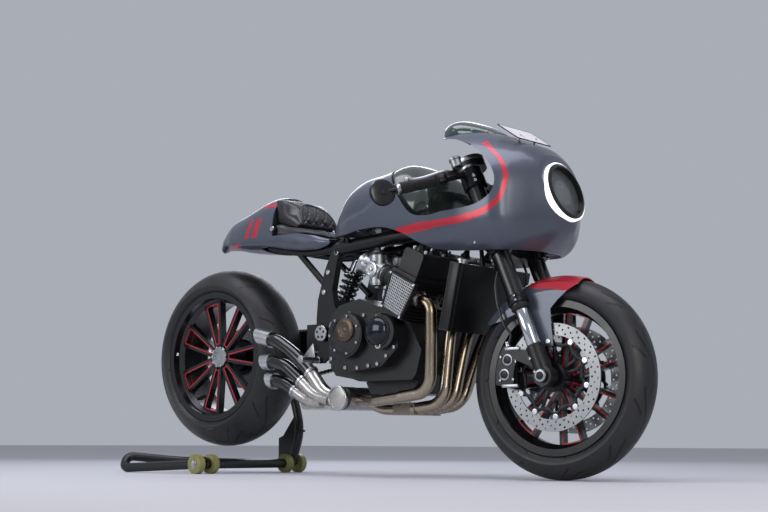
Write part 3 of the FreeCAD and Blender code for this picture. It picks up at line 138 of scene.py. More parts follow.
def panel(name, place, aim, width, depth, watts, tint="#ffffff"):
    """A soft rectangular lamp that faces a point."""
    lamp_data = bpy.data.lights.new(name, "AREA")
    lamp_data.shape, lamp_data.size, lamp_data.size_y = "RECTANGLE", width, depth
    lamp_data.energy, lamp_data.color = watts, colour(tint)[:3]
    lamp = bpy.data.objects.new(name, lamp_data)
    bpy.context.scene.collection.objects.link(lamp)
    lamp.location = place
    lamp.rotation_euler = (Vector(aim) - Vector(place)).to_track_quat("-Z", "Y").to_euler()


panel("overhead_panel", (0.1, -0.5, 3.0), (0, 0, 0.7), 3.6, 1.5, 54, "#f4f2ff")
panel("front_panel", (3.4, -2.2, 1.7), (0.3, 0, 0.6), 1.2, 2.2, 36, "#fff8f0")
panel("side_panel", (-1.2, -3.8, 1.6), (-0.2, 0, 0.5), 2.4, 1.6, 46)
panel("rim_panel", (-2.6, 2.6, 2.2), (-0.2, 0, 0.7), 2.0, 1.4, 30, "#eef2ff")

# Frame, beams and seat rails: welded steel tube and plate, powder coated black after welding.
# Plated bolts on each side hold the plates together and hang the engine.


def surface(name, base, rough, metal=0.0, grain=None, grain_height=0.0, mottle=0.0, mottle_size=60.0, haze=0.0,
            **sockets):
    """A finish with uneven roughness, a little colour variation and a fine grain, in millimetres."""
    finish = bpy.data.materials.new(name)
    finish.use_nodes = True
    tree = finish.node_tree
    shader = tree.nodes["Principled BSDF"]
    base_colour = colour(base)
    shader.inputs["Base Color"].default_value = base_colour
    shader.inputs["Roughness"].default_value = rough
    shader.inputs["Metallic"].default_value = metal
    for socket, value in sockets.items():
        shader.inputs[socket.replace("_", " ")].default_value = value
    where = node(tree, "ShaderNodeTexCoord").outputs["Object"]
    if mottle or haze:
        cloud = node(tree, "ShaderNodeTexNoise", {"Scale": 1000 / mottle_size, "Detail": 5.0, "Roughness": 0.6},
                     {"Vector": where})
    if mottle:
        darker, lighter = (tuple(min(1, c * (1 + change)) for c in base_colour[:3]) + (1,)
                           for change in (-mottle, mottle))
        tree.links.new(ramp(tree, cloud.outputs["Fac"], (0.3, darker), (0.7, lighter)), shader.inputs["Base Color"])
    if haze:
        even = node(tree, "ShaderNodeMapRange",
                    {"From Min": 0.3, "From Max": 0.7, "To Min": max(0.02, rough - haze),
                     "To Max": min(1, rough + haze)}, {"Value": cloud.outputs["Fac"]})
        tree.links.new(even.outputs["Result"], shader.inputs["Roughness"])
    if grain:
        speck = node(tree, "ShaderNodeTexNoise", {"Scale": 1000 / grain, "Detail": 3.0}, {"Vector": where})
        relief = node(tree, "ShaderNodeBump", {"Strength": 0.6, "Distance": grain_height * MM},
                      {"Height": speck.outputs["Fac"]})
        tree.links.new(relief.outputs["Normal"], shader.inputs["Normal"])
    return finish


def dress(finish, *names):
    """Gives CAD nodes a finish."""
    for name in names:
        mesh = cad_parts[name].data
        mesh.materials.clear()
        mesh.materials.append(finish)


def applied(piece, kind, **settings):
    """Adds a modifier with its settings and applies it."""
    change = piece.modifiers.new(kind.lower(), kind)
    for name, value in settings.items():
        setattr(change, name, value)
    bpy.ops.object.modifier_apply(modifier=change.name)


def finish_off(name, body, finish, place=None, bevel=0.0, angle=35):
    """Ends the piece in hand: its place goes into its mesh, then its edges, shading, finish and body are set."""
    if bpy.context.mode != "OBJECT":
        bpy.ops.object.mode_set(mode="OBJECT")
    piece = bpy.context.object
    piece.name = name
    bpy.ops.object.transform_apply(location=True, rotation=True, scale=True)
    if place is not None:
        piece.data.transform(place)
    if bevel:
        applied(piece, "BEVEL", width=bevel * MM, segments=2, limit_method="ANGLE", angle_limit=math.radians(40))
    bpy.ops.object.shade_smooth_by_angle(angle=math.radians(angle))
    piece.data.materials.clear()
    piece.data.materials.append(finish)
    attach(piece, body)
    clear()
    return piece


def moved(x, y, z):
    """A shift in millimetres."""
    return Matrix.Translation(Vector((x, y, z)) * MM)


def turned(degrees, axis):
    """A turn about an axis through the origin."""
    return Matrix.Rotation(math.radians(degrees), 4, axis)


def at(place, direction=(0, 0, 1)):
    """A place in millimetres with +Z turned to a direction."""
    return Matrix.Translation(Vector(place) * MM) @ Vector(direction).to_track_quat("Z", "Y").to_matrix().to_4x4()


def repeated(pattern, name, places):
    """Puts a copy of a modelled pattern at each place, all in the pattern's own piece."""
    kept = pattern.data.copy()
    together = bmesh.new()
    for place in places:
        shape = kept.copy()
        shape.transform(place)
        together.from_mesh(shape)
        bpy.data.meshes.remove(shape)
    together.to_mesh(pattern.data)
    together.free()
    bpy.data.meshes.remove(kept)
    pattern.name = name
    return pattern


def pick_faces(test):
    """Selects the faces that pass a test, in edit mode."""
    bpy.ops.object.mode_set(mode="EDIT")
    mesh = bpy.context.object.data
    shape = bmesh.from_edit_mesh(mesh)
    for face in shape.faces:
        face.select_set(test(face))
    bmesh.update_edit_mesh(mesh)


def cap_screws(name, across, height, places, body="chassis", sides=14):
    """Plated cap screws with a chamfered rim and a sunk drive, one at each place."""
    clear()
    bpy.ops.mesh.primitive_cylinder_add(vertices=sides, radius=across / 2 * MM, depth=height * MM,
                                        location=(0, 0, height / 2 * MM))
    bpy.ops.object.mode_set(mode="EDIT")
    bpy.ops.mesh.select_all(action="DESELECT")
    pick_faces(lambda face: face.normal.z > 0.9)
    bpy.ops.mesh.inset(thickness=across * 0.1 * MM)
    bpy.ops.transform.translate(value=(0, 0, height * 0.1 * MM))
    bpy.ops.mesh.inset(thickness=across * 0.13 * MM)
    bpy.ops.transform.translate(value=(0, 0, -height * 0.6 * MM))
    return repeated(finish_off(name, body, plated_bolt), name, places)


# Satin black powder coat: baked polyester with a faint orange peel and a soft broad highlight
powder_black = surface("black_powder_coat", "#0e0f11", 0.38, Specular_IOR_Level=0.3, grain=1.6, grain_height=0.1,
                       mottle=0.12, haze=0.07, Coat_Weight=0.15, Coat_Roughness=0.3)
# Zinc plated steel: turned bolts with a clear bright plating that dulls in patches
plated_bolt = surface("zinc_plated_steel", "#c3c5c9", 0.24, metal=1.0, mottle=0.08, haze=0.08, mottle_size=9)
dress(powder_black, "frame", "subframe")
cap_screws("frame_bolts", 17, 7,
           [at((x, side * 126, z), (0, side, 0)) for x, z in ((-136, 603), (-80, 730), (-118, 668), (-84, 520))
            for side in (-1, 1)])
cap_screws("seat_rail_bolts", 12, 6,
           [at((-134, side * 110.5, 612), (0, side, 0)) for side in (-1, 1)])


# Crankcase, cylinder block, head and covers: sand-cast aluminium, sprayed satin black and bolted together
# with plated cap screws. Thin fins on the block and head shed the heat.
# Black painted castings: the cast grain shows through thin paint as a fine pebbled sheen
black_casting = surface("black_painted_casting", "#101114", 0.4, metal=0.1, grain=2.4, grain_height=0.25,
                        mottle=0.2, haze=0.1, mottle_size=35)
# Burnished cover: a darker cast face polished by hand, brown where oil and heat have tinted it
brown_cap = surface("heat_tinted_aluminium", "#5e5148", 0.34, metal=0.85, mottle=0.25, mottle_size=18, haze=0.1)
bright_cap = surface("polished_black_chrome", "#3a3c42", 0.14, metal=1.0, mottle=0.1, haze=0.05)
machined_face = surface("machined_aluminium", "#b4b6b8", 0.3, metal=1.0, grain=0.7, grain_height=0.03, mottle=0.06,
                        haze=0.06)
dress(black_casting, "crankcase", "cylinder_block", "cylinder_head", "right_engine_cover", "left_engine_cover")
ENGINE_PLACE = moved(190, 0, 440) @ turned(25, "Y")
CYLINDERS = (-168, -56, 56, 168)


def all_in_edit():
    """Edit mode with everything selected."""
    bpy.ops.object.mode_set(mode="EDIT")
    bpy.ops.mesh.select_all(action="SELECT")


def round_cap(name, place, direction, profile, finish, body="chassis", steps=48, within=None):
    """A turned cap: a disc raised through (radius, height) steps, closed at its centre."""
    clear()
    bpy.ops.mesh.primitive_circle_add(vertices=steps, radius=profile[0][0] * MM,
            location=(0, 0, profile[0][1] * MM))
    all_in_edit()
    for (radius, height), (last_radius, last_height) in zip(profile[1:], profile):
        bpy.ops.mesh.extrude_region_move(TRANSFORM_OT_translate={"value": (0, 0, (height - last_height) * MM)})
        scale = radius / last_radius
        bpy.ops.transform.resize(value=(scale, scale, 1), center_override=(0, 0, height * MM))
    bpy.ops.mesh.fill()
    bpy.ops.mesh.select_all(action="SELECT")
    bpy.ops.mesh.normals_make_consistent(inside=False)
    cap = finish_off(name, body, finish, at(place, direction))
    if within is not None:
        cap.data.transform(within)
    return cap


def block(size, middle=(0, 0, 0)):
    """A box about a middle, in millimetres, in hand."""
    clear()
    bpy.ops.mesh.primitive_cube_add(size=1, location=[c * MM for c in middle], scale=[c * MM for c in size])


for part, count, lowest, pitch, size in (("block", 4, 78, 11, (106, 410, 3)), ("head", 5, 134, 15, (113, 425, 3))):
    for layer in range(count):
        block(size, (0, 0, lowest + pitch * layer))
        finish_off(f"{part}_fin_{layer}", "chassis", black_casting, ENGINE_PLACE, bevel=1.0)
cap_screws("cam_cover_bolts", 13, 8,
           [ENGINE_PLACE @ at((x, y, 286), (0, 0, 1)) for x in (-24, 24) for y in (-170, -85, 0, 85, 170)])
round_cap("clutch_rim", (58, -237.5, 446), (0, -1, 0), [(68, 0), (66, 3), (52, 4), (50, 1)], black_casting)
round_cap("clutch_disc", (62, -238, 462), (0, -1, 0), [(38, 0), (37, 6), (33, 9), (24, 9.5), (22, 7), (8, 6.5),
        (6, 9), (3, 9.5)], brown_cap)
round_cap("ignition_dome", (190, -231.5, 452), (0, -1, 0),
          [(45, 0), (44, 5), (39, 14), (29, 20), (16, 24), (5, 25.3)], bright_cap, steps=56)
round_cap("ignition_rim", (190, -231.8, 452), (0, -1, 0), [(50, 0), (49, 4), (45, 4), (44.8, 1)], black_casting,
          steps=56)
round_cap("crank_plug", (196, -232, 408), (0, -1, 0), [(12, 0), (11, 5), (6, 5), (5, 2)], machined_face,
          steps=24)
round_cap("filler_cap", (-6, -214, 476), (0, -1, 0), [(19, 0), (18.5, 9), (16, 11), (8, 11), (6, 8)], machined_face,
          steps=30)
round_cap("left_crank_cap", (205, 230, 440), (0, 1, 0), [(52, 0), (51, 5), (44, 9), (30, 11), (8, 11.5)],
          black_casting)
cap_screws("right_cover_bolts", 12.5, 7, [at(place, (0, -1, 0))
        for place in ((-15, -214, 484), (-16, -214, 412), (-18, -214, 374), (43, -214, 344), (94, -214, 342),
                      (140, -214, 348), (178, -214, 352), (214, -214, 376), (246, -214, 402), (246, -214, 456),
                      (232, -214, 470), (176, -214, 500), (120, -214, 507), (60, -214, 515), (8, -214, 500))])
cap_screws("clutch_bolts", 9, 5, [
    at((58 + 60 * math.cos(turn), -240.5, 446 + 60 * math.sin(turn)), (0, -1, 0))
    for turn in (math.tau * (k + 0.5) / 7 for k in range(7))])
cap_screws("left_cover_bolts", 11, 6, [at(place, (0, 1, 0))
        for place in ((75, 206, 362), (180, 206, 355), (250, 206, 404), (250, 206, 458), (176, 206, 502),
                      (80, 206, 508), (-80, 212, 406), (-80, 212, 518), (56, 212, 406), (56, 212, 518))])
for number, along in enumerate(CYLINDERS):
    round_cap(f"plug_cap_{number}", ENGINE_PLACE @ (Vector((0, along, 285)) * MM) / MM, (0.4226, 0, 0.9063),
              [(17, 0), (16, 10), (12, 14), (8, 26), (6, 30)], powder_black, steps=20)

# Side grille of the engine: bright crimped wire, woven 8 mm apart and clamped in a thin black frame by four bolts
bright_mesh = surface("satin_aluminium", "#b4b7ba", 0.34, metal=1.0, mottle=0.08, haze=0.08, mottle_size=12)
GRILLE_CORNERS = [Vector((x, -219, z)) for x, z in ((238, 640), (337, 588), (274, 486), (196, 530))]


def in_hand(piece):
    """Links a piece where it is new, and makes it the only selected and active one."""
    if not piece.users_collection:
        bpy.context.scene.collection.objects.link(piece)
    clear()
    piece.select_set(True)
    bpy.context.view_layer.objects.active = piece
    return piece


woven = bmesh.new()
for first, second, third, fourth in (GRILLE_CORNERS, GRILLE_CORNERS[1:] + GRILLE_CORNERS[:1]):
    for step in range(1, 14):
        start, end = first.lerp(second, step / 14), fourth.lerp(third, step / 14)
        way = end - start
        bmesh.ops.create_cone(woven, cap_ends=True, segments=6, radius1=1.5 * MM, radius2=1.5 * MM,
                              depth=way.length * MM, matrix=at(start + way / 2, way))
wire_mesh = bpy.data.meshes.new("grille_wires")
woven.to_mesh(wire_mesh)
woven.free()
wires = in_hand(bpy.data.objects.new("grille_wires", wire_mesh))
finish_off("grille_wires", "chassis", bright_mesh)
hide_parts("right_side_grille")
for name, back, wall in (("grille_frame", 0, 10), ("grille_baffle", 9, 2)):
    sheet = bpy.data.meshes.new(name)
    sheet.from_pydata([tuple((corner + Vector((0, back, 0))) * MM) for corner in GRILLE_CORNERS], [],
                      [(0, 1, 2, 3)])
    piece = in_hand(bpy.data.objects.new(name, sheet))
    if name == "grille_frame":
        all_in_edit()
        bpy.ops.mesh.inset(thickness=5 * MM)
        bpy.ops.mesh.delete(type="FACE")
        bpy.ops.object.mode_set(mode="OBJECT")
    applied(piece, "SOLIDIFY", thickness=wall * MM, offset=0)
    finish_off(name, "chassis", black_casting, bevel=0.0 if back else 0.8)
cap_screws("grille_bolts", 8, 2,
           [at((x, -223.8, z), (0, -1, 0)) for x, z in ((238, 634), (330, 587), (272, 491), (201, 531))])
# Swingarm pivot: a turned disc drilled five times on the right, a plain cap nut on the left
round_cap("pivot_disc", (-130, -148, 465), (0, -1, 0), [(26, 0), (26, 3), (24.5, 4.6), (12, 5), (5, 5)],
          machined_face)
pivot_hole = round_cap("pivot_holes", (0, 0, 0), (0, 0, 1), [(4.6, 0), (4.6, 0.3), (1.5, 0.3)], black_casting,
                       steps=16)
repeated(pivot_hole, "pivot_holes", [at((-130 + 15 * math.cos(a), -153.1, 465 + 15 * math.sin(a)), (0, -1, 0))
                                     for a in (math.tau * k / 5 + 0.3 for k in range(5))])
cap_screws("pivot_nut", 27, 5, [at((-130, 138, 465), (0, 1, 0))], sides=6)

# Carburettors: die-cast zinc bodies left bright, with turned bowls, rubber manifolds, slide caps and a cable wheel
zinc_casting = surface("die_cast_zinc", "#9a9c9e", 0.36, metal=0.95, grain=1.4, grain_height=0.12, mottle=0.22,
                       haze=0.1, mottle_size=14)
manifold_rubber = surface("moulded_rubber", "#161617", 0.7, grain=1.5, grain_height=0.15, mottle=0.15)
dress(zinc_casting, "carburettors")
back_lean = Vector((-math.cos(math.radians(25)), 0, math.sin(math.radians(25))))
intake = ENGINE_PLACE @ (Vector((-51, 0, 170)) * MM) / MM
for number, along in enumerate(CYLINDERS):
    mouth = intake + Vector((0, along, 0))
    round_cap(f"manifold_{number}", mouth - back_lean * 2, back_lean,
              [(25.5, 0), (29, 2), (29, 14), (26.5, 16), (26.5, 36), (29, 38), (29, 50), (25.6, 52)],
              manifold_rubber, steps=28)
    round_cap(f"slide_cap_{number}", mouth + back_lean * 88 + Vector((0, 0, 47)), (0, 0, 1),
              [(29, 0), (29, 5), (24, 8), (20, 14), (10, 17), (9, 24), (5, 24.5)], black_casting,
              steps=28)
    round_cap(f"float_bowl_{number}", mouth + back_lean * 88 + Vector((0, 0, -43)), (0, 0, -1),
              [(24, 0), (24, 6), (20, 9), (12, 10), (10, 15), (4, 15.5)], zinc_casting, steps=24)
    round_cap(f"intake_horn_{number}", mouth + back_lean * 131.5, back_lean,
              [(30, 0), (30, 8), (36, 16), (38, 18), (36, 19), (29, 12), (27, 2)], machined_face,
              steps=32)
round_cap("choke_wheel", intake + Vector((0, -198, 0)) + back_lean * 90, (0, -1, 0),
          [(24, 0), (24, 4), (18, 5), (16, 3), (8, 3), (7, 8), (4, 8.4)], machined_face, steps=30)
cap_screws("carburettor_screws", 7, 5,
           [at(intake + Vector((dx, -199, dz)) + back_lean * 96, (0, -1, 0))
            for dx, dz in ((18, 20), (-18, 18), (-20, -22), (20, -20))])

# Radiator: rows of thin aluminium fins between two tanks, all sprayed black. The fins are brazed to flat tubes;
# their pitch is drawn at 4 mm, a little coarser than the real one, so that it shows.
RADIATOR_PLACE = moved(436, 0, 550) @ turned(13, "Y")
SIDES = ((-1, "right"), (1, "left"))
dress(powder_black, "radiator")
block((36.5, 330, 0.9))
fins = finish_off("radiator_fins", "chassis", powder_black)
repeated(fins, "radiator_fins", [RADIATOR_PLACE @ moved(0, 0, -96 + 4 * row) for row in range(49)])
for side, name in SIDES:
    block((39, 20.5, 211), (0, side * 175, 0))
    finish_off(f"radiator_tank_{name}", "chassis", powder_black, RADIATOR_PLACE, bevel=5)
round_cap("radiator_cap", (462, -150, 652), (0.22, 0, 0.97),
          [(15, 0), (15, 6), (20, 7), (20, 13), (14, 15), (5, 15.5)], machined_face, steps=28)

# Exhaust: stainless headers, tinted straw and bronze by heat, into a polished log; black ceramic-coated outlets
# with clamps at each seam and bright slash-cut tips.


def heated_steel(name, cool, warm, spread):
    """Stainless steel whose oxide tint follows the heat: stronger near the ports and in slow clouds."""
    finish = surface(name, cool, 0.24, metal=1.0, grain=1.2, grain_height=0.03, haze=0.09)
    tree = finish.node_tree
    where = node(tree, "ShaderNodeTexCoord").outputs["Object"]
    height = node(tree, "ShaderNodeSeparateXYZ", links={"Vector": where}).outputs["Z"]
    cloud = node(tree, "ShaderNodeTexNoise", {"Scale": 1000 / spread, "Detail": 4.0}, {"Vector": where})
    heat = maths(tree, "ADD", maths(tree, "MULTIPLY_ADD", height, 2.2, -0.95), cloud.outputs["Fac"])
    tree.links.new(ramp(tree, heat, (0.15, colour(cool)), (0.75, colour(warm))),
                   tree.nodes["Principled BSDF"].inputs["Base Color"])
    return finish


warm_headers = heated_steel("heat_tinted_stainless", "#a99d8c", "#8a7a64", 60)
log_steel = surface("brushed_stainless", "#bdbbb6", 0.28, metal=1.0, grain=0.9, grain_height=0.03, mottle=0.1,
                    haze=0.09)
tip_steel = surface("satin_stainless", "#c5c7c8", 0.3, metal=1.0, grain=0.8, grain_height=0.03, mottle=0.06,
                    haze=0.06)
# Black ceramic coat: cured glossy, with long clean highlights
black_ceramic = surface("black_ceramic_coat", "#0e0f12", 0.16, metal=0.1, haze=0.04, Coat_Weight=0.6,
                        Coat_Roughness=0.08)
dress(warm_headers, "header_pipes")
dress(log_steel, "muffler_log")
dress(tip_steel, "outlet_tips")
dress(black_ceramic, "outlet_pipes")
port = ENGINE_PLACE @ (Vector((51, 0, 150)) * MM) / MM
port_way = Vector((math.cos(math.radians(25)), 0, -math.sin(math.radians(25))))
for number, across in enumerate(CYLINDERS):
    round_cap(f"port_flange_{number}", port + Vector((0, across, 0)) - port_way * 2, port_way,
              [(27, 0), (27, 12), (22, 14), (19.6, 15), (19.4, 4)], log_steel, steps=28)
    cap_screws(f"port_nuts_{number}", 10, 8,
               [at(port + Vector((0, across + side * 31, 0)) - port_way, port_way) for side in (-1, 1)], sides=6)
for number, (first, last, spot) in enumerate((((-112, 270), (-250, 401), (-171, 337)),
        ((-150, 262), (-286, 363), (-209, 309)), ((-182, 243), (-290, 302), (-246, 278)))):
    way = Vector((last[0] - first[0], 0, last[1] - first[1])).normalized()
    seam = Vector((spot[0], (-150, -153, -147)[number], spot[1]))
    round_cap(f"outlet_seam_{number}", seam - way * 5, way, [(22.2, 0), (25, 0.6), (25, 9.4), (22.2, 10)],
              tip_steel, steps=36)
round_cap("log_end_ring", (-30, -173, 250), (0, -1, 0), [(39, -7), (40.5, -6), (40.5, 4), (38.5, 6), (35.5, 6.2),
        (34, 1.5), (20, 1)], tip_steel, steps=48)
round_cap("log_end_plate", (-30, -174.2, 250), (0, -1, 0), [(33.6, 0), (33.6, 0.8), (26, 1.8), (10, 2.2)],
          log_steel, steps=48)
round_cap("log_left_ring", (-30, 149, 250), (0, 1, 0), [(38.3, -8), (39.5, -7), (39.5, 2), (35, 4), (10, 4.5)],
          tip_steel, steps=48)

# Rear shock: a coil spring wound from painted steel wire over a hard chromed damper. It is bolted to the swingarm
# and to the frame, with a lock ring at its top and bottom.
SHOCK_FOOT = Vector((-206, 0, 513))
shock_way = (Vector((-84, 0, 736)) - SHOCK_FOOT).normalized()
spring_paint = surface("black_spring_paint", "#1d1e22", 0.3, haze=0.06, Coat_Weight=0.4, Coat_Roughness=0.12)
damper_steel = surface("hard_chromed_damper", "#c6c8cc", 0.14, metal=1.0, haze=0.04)
clear()
coil = bpy.data.curves.new("spring_wire", "CURVE")
coil.dimensions, coil.bevel_depth, coil.bevel_resolution, coil.use_fill_caps = "3D", 5.2 * MM, 3, True
wire = coil.splines.new("POLY")
turns, steps = 7, 22
wire.points.add(turns * steps)
for k, point in enumerate(wire.points):
    angle = math.tau * k / steps
    point.co = (29 * MM * math.cos(angle), 29 * MM * math.sin(angle), (38 + 143 * k / (turns * steps)) * MM, 1)
in_hand(bpy.data.objects.new("spring_wire", coil))
bpy.ops.object.convert(target="MESH")
finish_off("shock_spring", "chassis", spring_paint, at(SHOCK_FOOT, shock_way))
damper = round_cap("shock_damper", SHOCK_FOOT, shock_way, [(14, 2), (14, 24), (33, 25), (34, 28), (34, 34),
        (30, 36), (19, 37), (19, 182), (31, 184), (32, 190), (28, 193), (22, 194), (22, 226), (16, 229), (13, 234)],
                   damper_steel, steps=36)
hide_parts("shock")

# Swingarm: a welded aluminium box arm on the left only, sprayed black. Six bolts clamp the wheel's carrier
# in its end.
dress(black_casting, "swingarm")
cap_screws("carrier_bolts", 11, 5, [at((-725 + 55 * math.cos(turn), 174, 412 + 55 * math.sin(turn)), (0, 1, 0))
                                    for turn in (math.tau * k / 6 + 0.5 for k in range(6))])

# Sprockets and chain: hardened steel, oiled. The chain has rollers between waisted side plates, pinned every
# 15.875 mm, and runs over both sprockets' pitch circles.
sprocket_steel = surface("hardened_steel", "#6d6f73", 0.33, metal=1.0, mottle=0.12, haze=0.08, mottle_size=20)
chain_steel = surface("oiled_chain_steel", "#85807a", 0.3, metal=1.0, mottle=0.2, haze=0.1, mottle_size=8)
dress(sprocket_steel, "front_sprocket", "rear_sprocket")
CHAIN_PITCH, CHAIN_Y = 15.875, 188.0
big, small = [(Vector(centre), CHAIN_PITCH / (2 * math.sin(math.pi / teeth)))
              for centre, teeth in (((-725, 412), 40), ((-50, 462), 16))]
span = small[0] - big[0]
slope, heading = math.asin((big[1] - small[1]) / span.length), math.atan2(span.y, span.x)
over, under = heading + math.pi / 2 - slope, heading - math.pi / 2 + slope
arc_small, arc_big = small[1] * (over - under), big[1] * (math.tau - (over - under))
run = math.sqrt(span.length ** 2 - (big[1] - small[1]) ** 2)
total = 2 * run + arc_small + arc_big
links = int(total / CHAIN_PITCH / 2) * 2


def on_sprocket(sprocket, turn):
    """A point of a sprocket's pitch circle."""
    return sprocket[0] + Vector((math.cos(turn), math.sin(turn))) * sprocket[1]


def chain_point(along):
    """Where the chain's middle line is, a distance along it from the rear sprocket's top."""
    along %= total
    if along < run:
        return on_sprocket(big, over).lerp(on_sprocket(small, over), along / run)
    if along < run + arc_small:
        return on_sprocket(small, over - (along - run) / small[1])
    if along < 2 * run + arc_small:
        return on_sprocket(small, under).lerp(on_sprocket(big, under), (along - run - arc_small) / run)
    return on_sprocket(big, under - (along - 2 * run - arc_small) / big[1])


def chain_link(name, offset, length):
    """Two side plates, waisted between the pins, with a roller or pin at each end."""
    clear()
    bpy.ops.mesh.primitive_cylinder_add(vertices=16, radius=6.6 * MM, depth=1.7 * MM, rotation=(math.pi / 2, 0, 0))
    bpy.ops.object.transform_apply(location=False, rotation=True, scale=False)
    for vertex in bpy.context.object.data.vertices:
        vertex.co.x += math.copysign(length / 2 * MM, vertex.co.x) if abs(vertex.co.x) > 1e-5 else 0
        if abs(vertex.co.x) < 2 * MM:
            vertex.co.z *= 0.72
    plate = bpy.context.object
    shape = bmesh.new()
    for side in (-1, 1):
        mesh = plate.data.copy()
        mesh.transform(moved(0, side * offset, 0))
        shape.from_mesh(mesh)
    pin_radius, pin_length = (5.1, 8.4) if offset < 7 else (2.6, 19.4)
    for end in (-1, 1):
        pin = bmesh.ops.create_cone(shape, cap_ends=True, segments=10, radius1=pin_radius * MM,
                                    radius2=pin_radius * MM, depth=pin_length * MM)
        bmesh.ops.transform(shape, matrix=moved(end * length / 2, 0, 0) @ turned(90, "X"), verts=pin["verts"])
    shape.to_mesh(plate.data)
    shape.free()
    return finish_off(name, "chassis", chain_steel, angle=30)


for name, offset, first in (("chain_outer_links", 7.9, 0), ("chain_inner_links", 5.6, 1)):
    places = []
    for k in range(first, links, 2):
        a, b = chain_point(total * k / links), chain_point(total * (k + 1) / links)
        middle = (a + b) / 2
        slant = math.degrees(math.atan2(b.y - a.y, b.x - a.x))
        places.append(moved(middle.x, CHAIN_Y, middle.y) @ turned(-slant, "Y"))
    link = repeated(chain_link(name, offset, CHAIN_PITCH), name, places)
    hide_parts("chain")

# Footrests: plates and pegs milled from aluminium and bolted to the frame. The plates are black, the pegs and
# the little heel guards bright.
dress(powder_black, "left_rearset", "right_rearset")
for side, name in SIDES:
    round_cap(f"{name}_peg", (-150, side * 136, 377), (0, side, 0),
              [(11.5, 0), (11.5, 8), (10.6, 9), (10.6, 84), (12.5, 86), (12.5, 88.5), (8, 89)], machined_face,
              steps=22)
    clear()
    bpy.ops.mesh.primitive_cylinder_add(vertices=3, radius=34 * MM, depth=5 * MM,
            location=(-184 * MM, side * 138 * MM, 402 * MM), rotation=(math.pi / 2, math.radians(18), 0))
    finish_off(f"{name}_heel_guard", "chassis", machined_face, bevel=1.2)

# Wheels: cast and forged aluminium rims sprayed gloss black, with a red line painted by hand round the window
# in each pair of spokes. The tyres are radial sport tyres with a sparse tread of long curved grooves.
gloss_black = surface("gloss_black_enamel", "#0d0e10", 0.3, haze=0.06, mottle=0.08, Coat_Weight=0.25,
                      Coat_Roughness=0.14)
red_line = surface("red_pinstripe_enamel", "#b3202c", 0.3, mottle=0.1, haze=0.05, mottle_size=12, Coat_Weight=0.3)
dress(gloss_black, "front_rim", "rear_rim")
FORK = moved(725, 0, 300) @ turned(-23.5, "Y")
STEERED = FORK @ moved(-30, 0, 0) @ turned(4.5, "Z") @ moved(30, 0, 0)
REAR_WHEEL = moved(-725, 0, 412)


def tyre_rubber(name, wheel_place, half_width, count):
    """Tyre compound with moulded grooves: bands that follow the wheel's angle and the distance from its middle,
    darkened with painted shade.
    """
    finish = surface(name, "#212224", 0.46, grain=1.3, grain_height=0.1, mottle=0.1, haze=0.08, mottle_size=45)
    tree = finish.node_tree
    shader = tree.nodes["Principled BSDF"]
    old_relief = next(n for n in tree.nodes if n.type == "BUMP")
    where = node(tree, "ShaderNodeTexCoord")
    centred = node(tree, "ShaderNodeMapping", {"vector_type": "TEXTURE", "Location": wheel_place.to_translation(),
            "Rotation": wheel_place.to_euler()}, {"Vector": where.outputs["Object"]})
    x, y, z = node(tree, "ShaderNodeSeparateXYZ", links={"Vector": centred.outputs["Vector"]}).outputs
    stagger = maths(tree, "MULTIPLY_ADD", maths(tree, "SIGN", y), 0.25, 20.0)
    turns = maths(tree, "MULTIPLY_ADD", maths(tree, "ARCTAN2", z, x), count / math.tau, stagger)
    step, away = maths(tree, "FRACT", turns), maths(tree, "ABSOLUTE", y)
    depth = None
    # A long groove and two short hooks: where each starts and ends along the step and across the tread, its width
    for begin, end, near, far, width in ((0.04, 0.86, 0.12, 0.60, 3.4), (0.34, 0.60, 0.56, 0.86, 3.0),
                                         (0.72, 0.92, 0.30, 0.12, 2.8)):
        share = node(tree, "ShaderNodeMapRange",
                     {"From Min": begin, "From Max": end, "To Min": near * half_width * MM,
                      "To Max": far * half_width * MM, "interpolation_type": "SMOOTHSTEP"}, {"Value": step})
        gap = maths(tree, "ABSOLUTE", maths(tree, "SUBTRACT", away, share.outputs["Result"]))
        wall = node(tree, "ShaderNodeMapRange", {"From Min": 0.6 * width * MM, "From Max": width * MM,
                "To Min": 1.0, "To Max": 0.0}, {"Value": gap})
        inside = maths(tree, "MULTIPLY", maths(tree, "GREATER_THAN", step, begin),
                       maths(tree, "LESS_THAN", step, end))
        groove = maths(tree, "MULTIPLY", wall.outputs["Result"], inside)
        depth = groove if depth is None else maths(tree, "MAXIMUM", depth, groove)
    relief = node(tree, "ShaderNodeBump", {"Strength": 1.0, "Distance": 3 * MM, "invert": True},
                  {"Height": depth, "Normal": old_relief.outputs["Normal"]})
    tree.links.new(relief.outputs["Normal"], shader.inputs["Normal"])
    # Painted shade: the colour is mixed towards near black where the grooves are deepest, standing in for the shade
    # in the recesses
    shade = node(tree, "ShaderNodeMix", {"data_type": "RGBA"},
                 {0: depth, 6: shader.inputs["Base Color"].links[0].from_socket})
    shade.inputs[7].default_value = colour("#020203")
    tree.links.new(shade.outputs[2], shader.inputs["Base Color"])
    return finish


dress(tyre_rubber("front_tyre_compound", STEERED, 61, 11), "front_tyre")
dress(tyre_rubber("rear_tyre_compound", REAR_WHEEL, 102, 11), "rear_tyre")


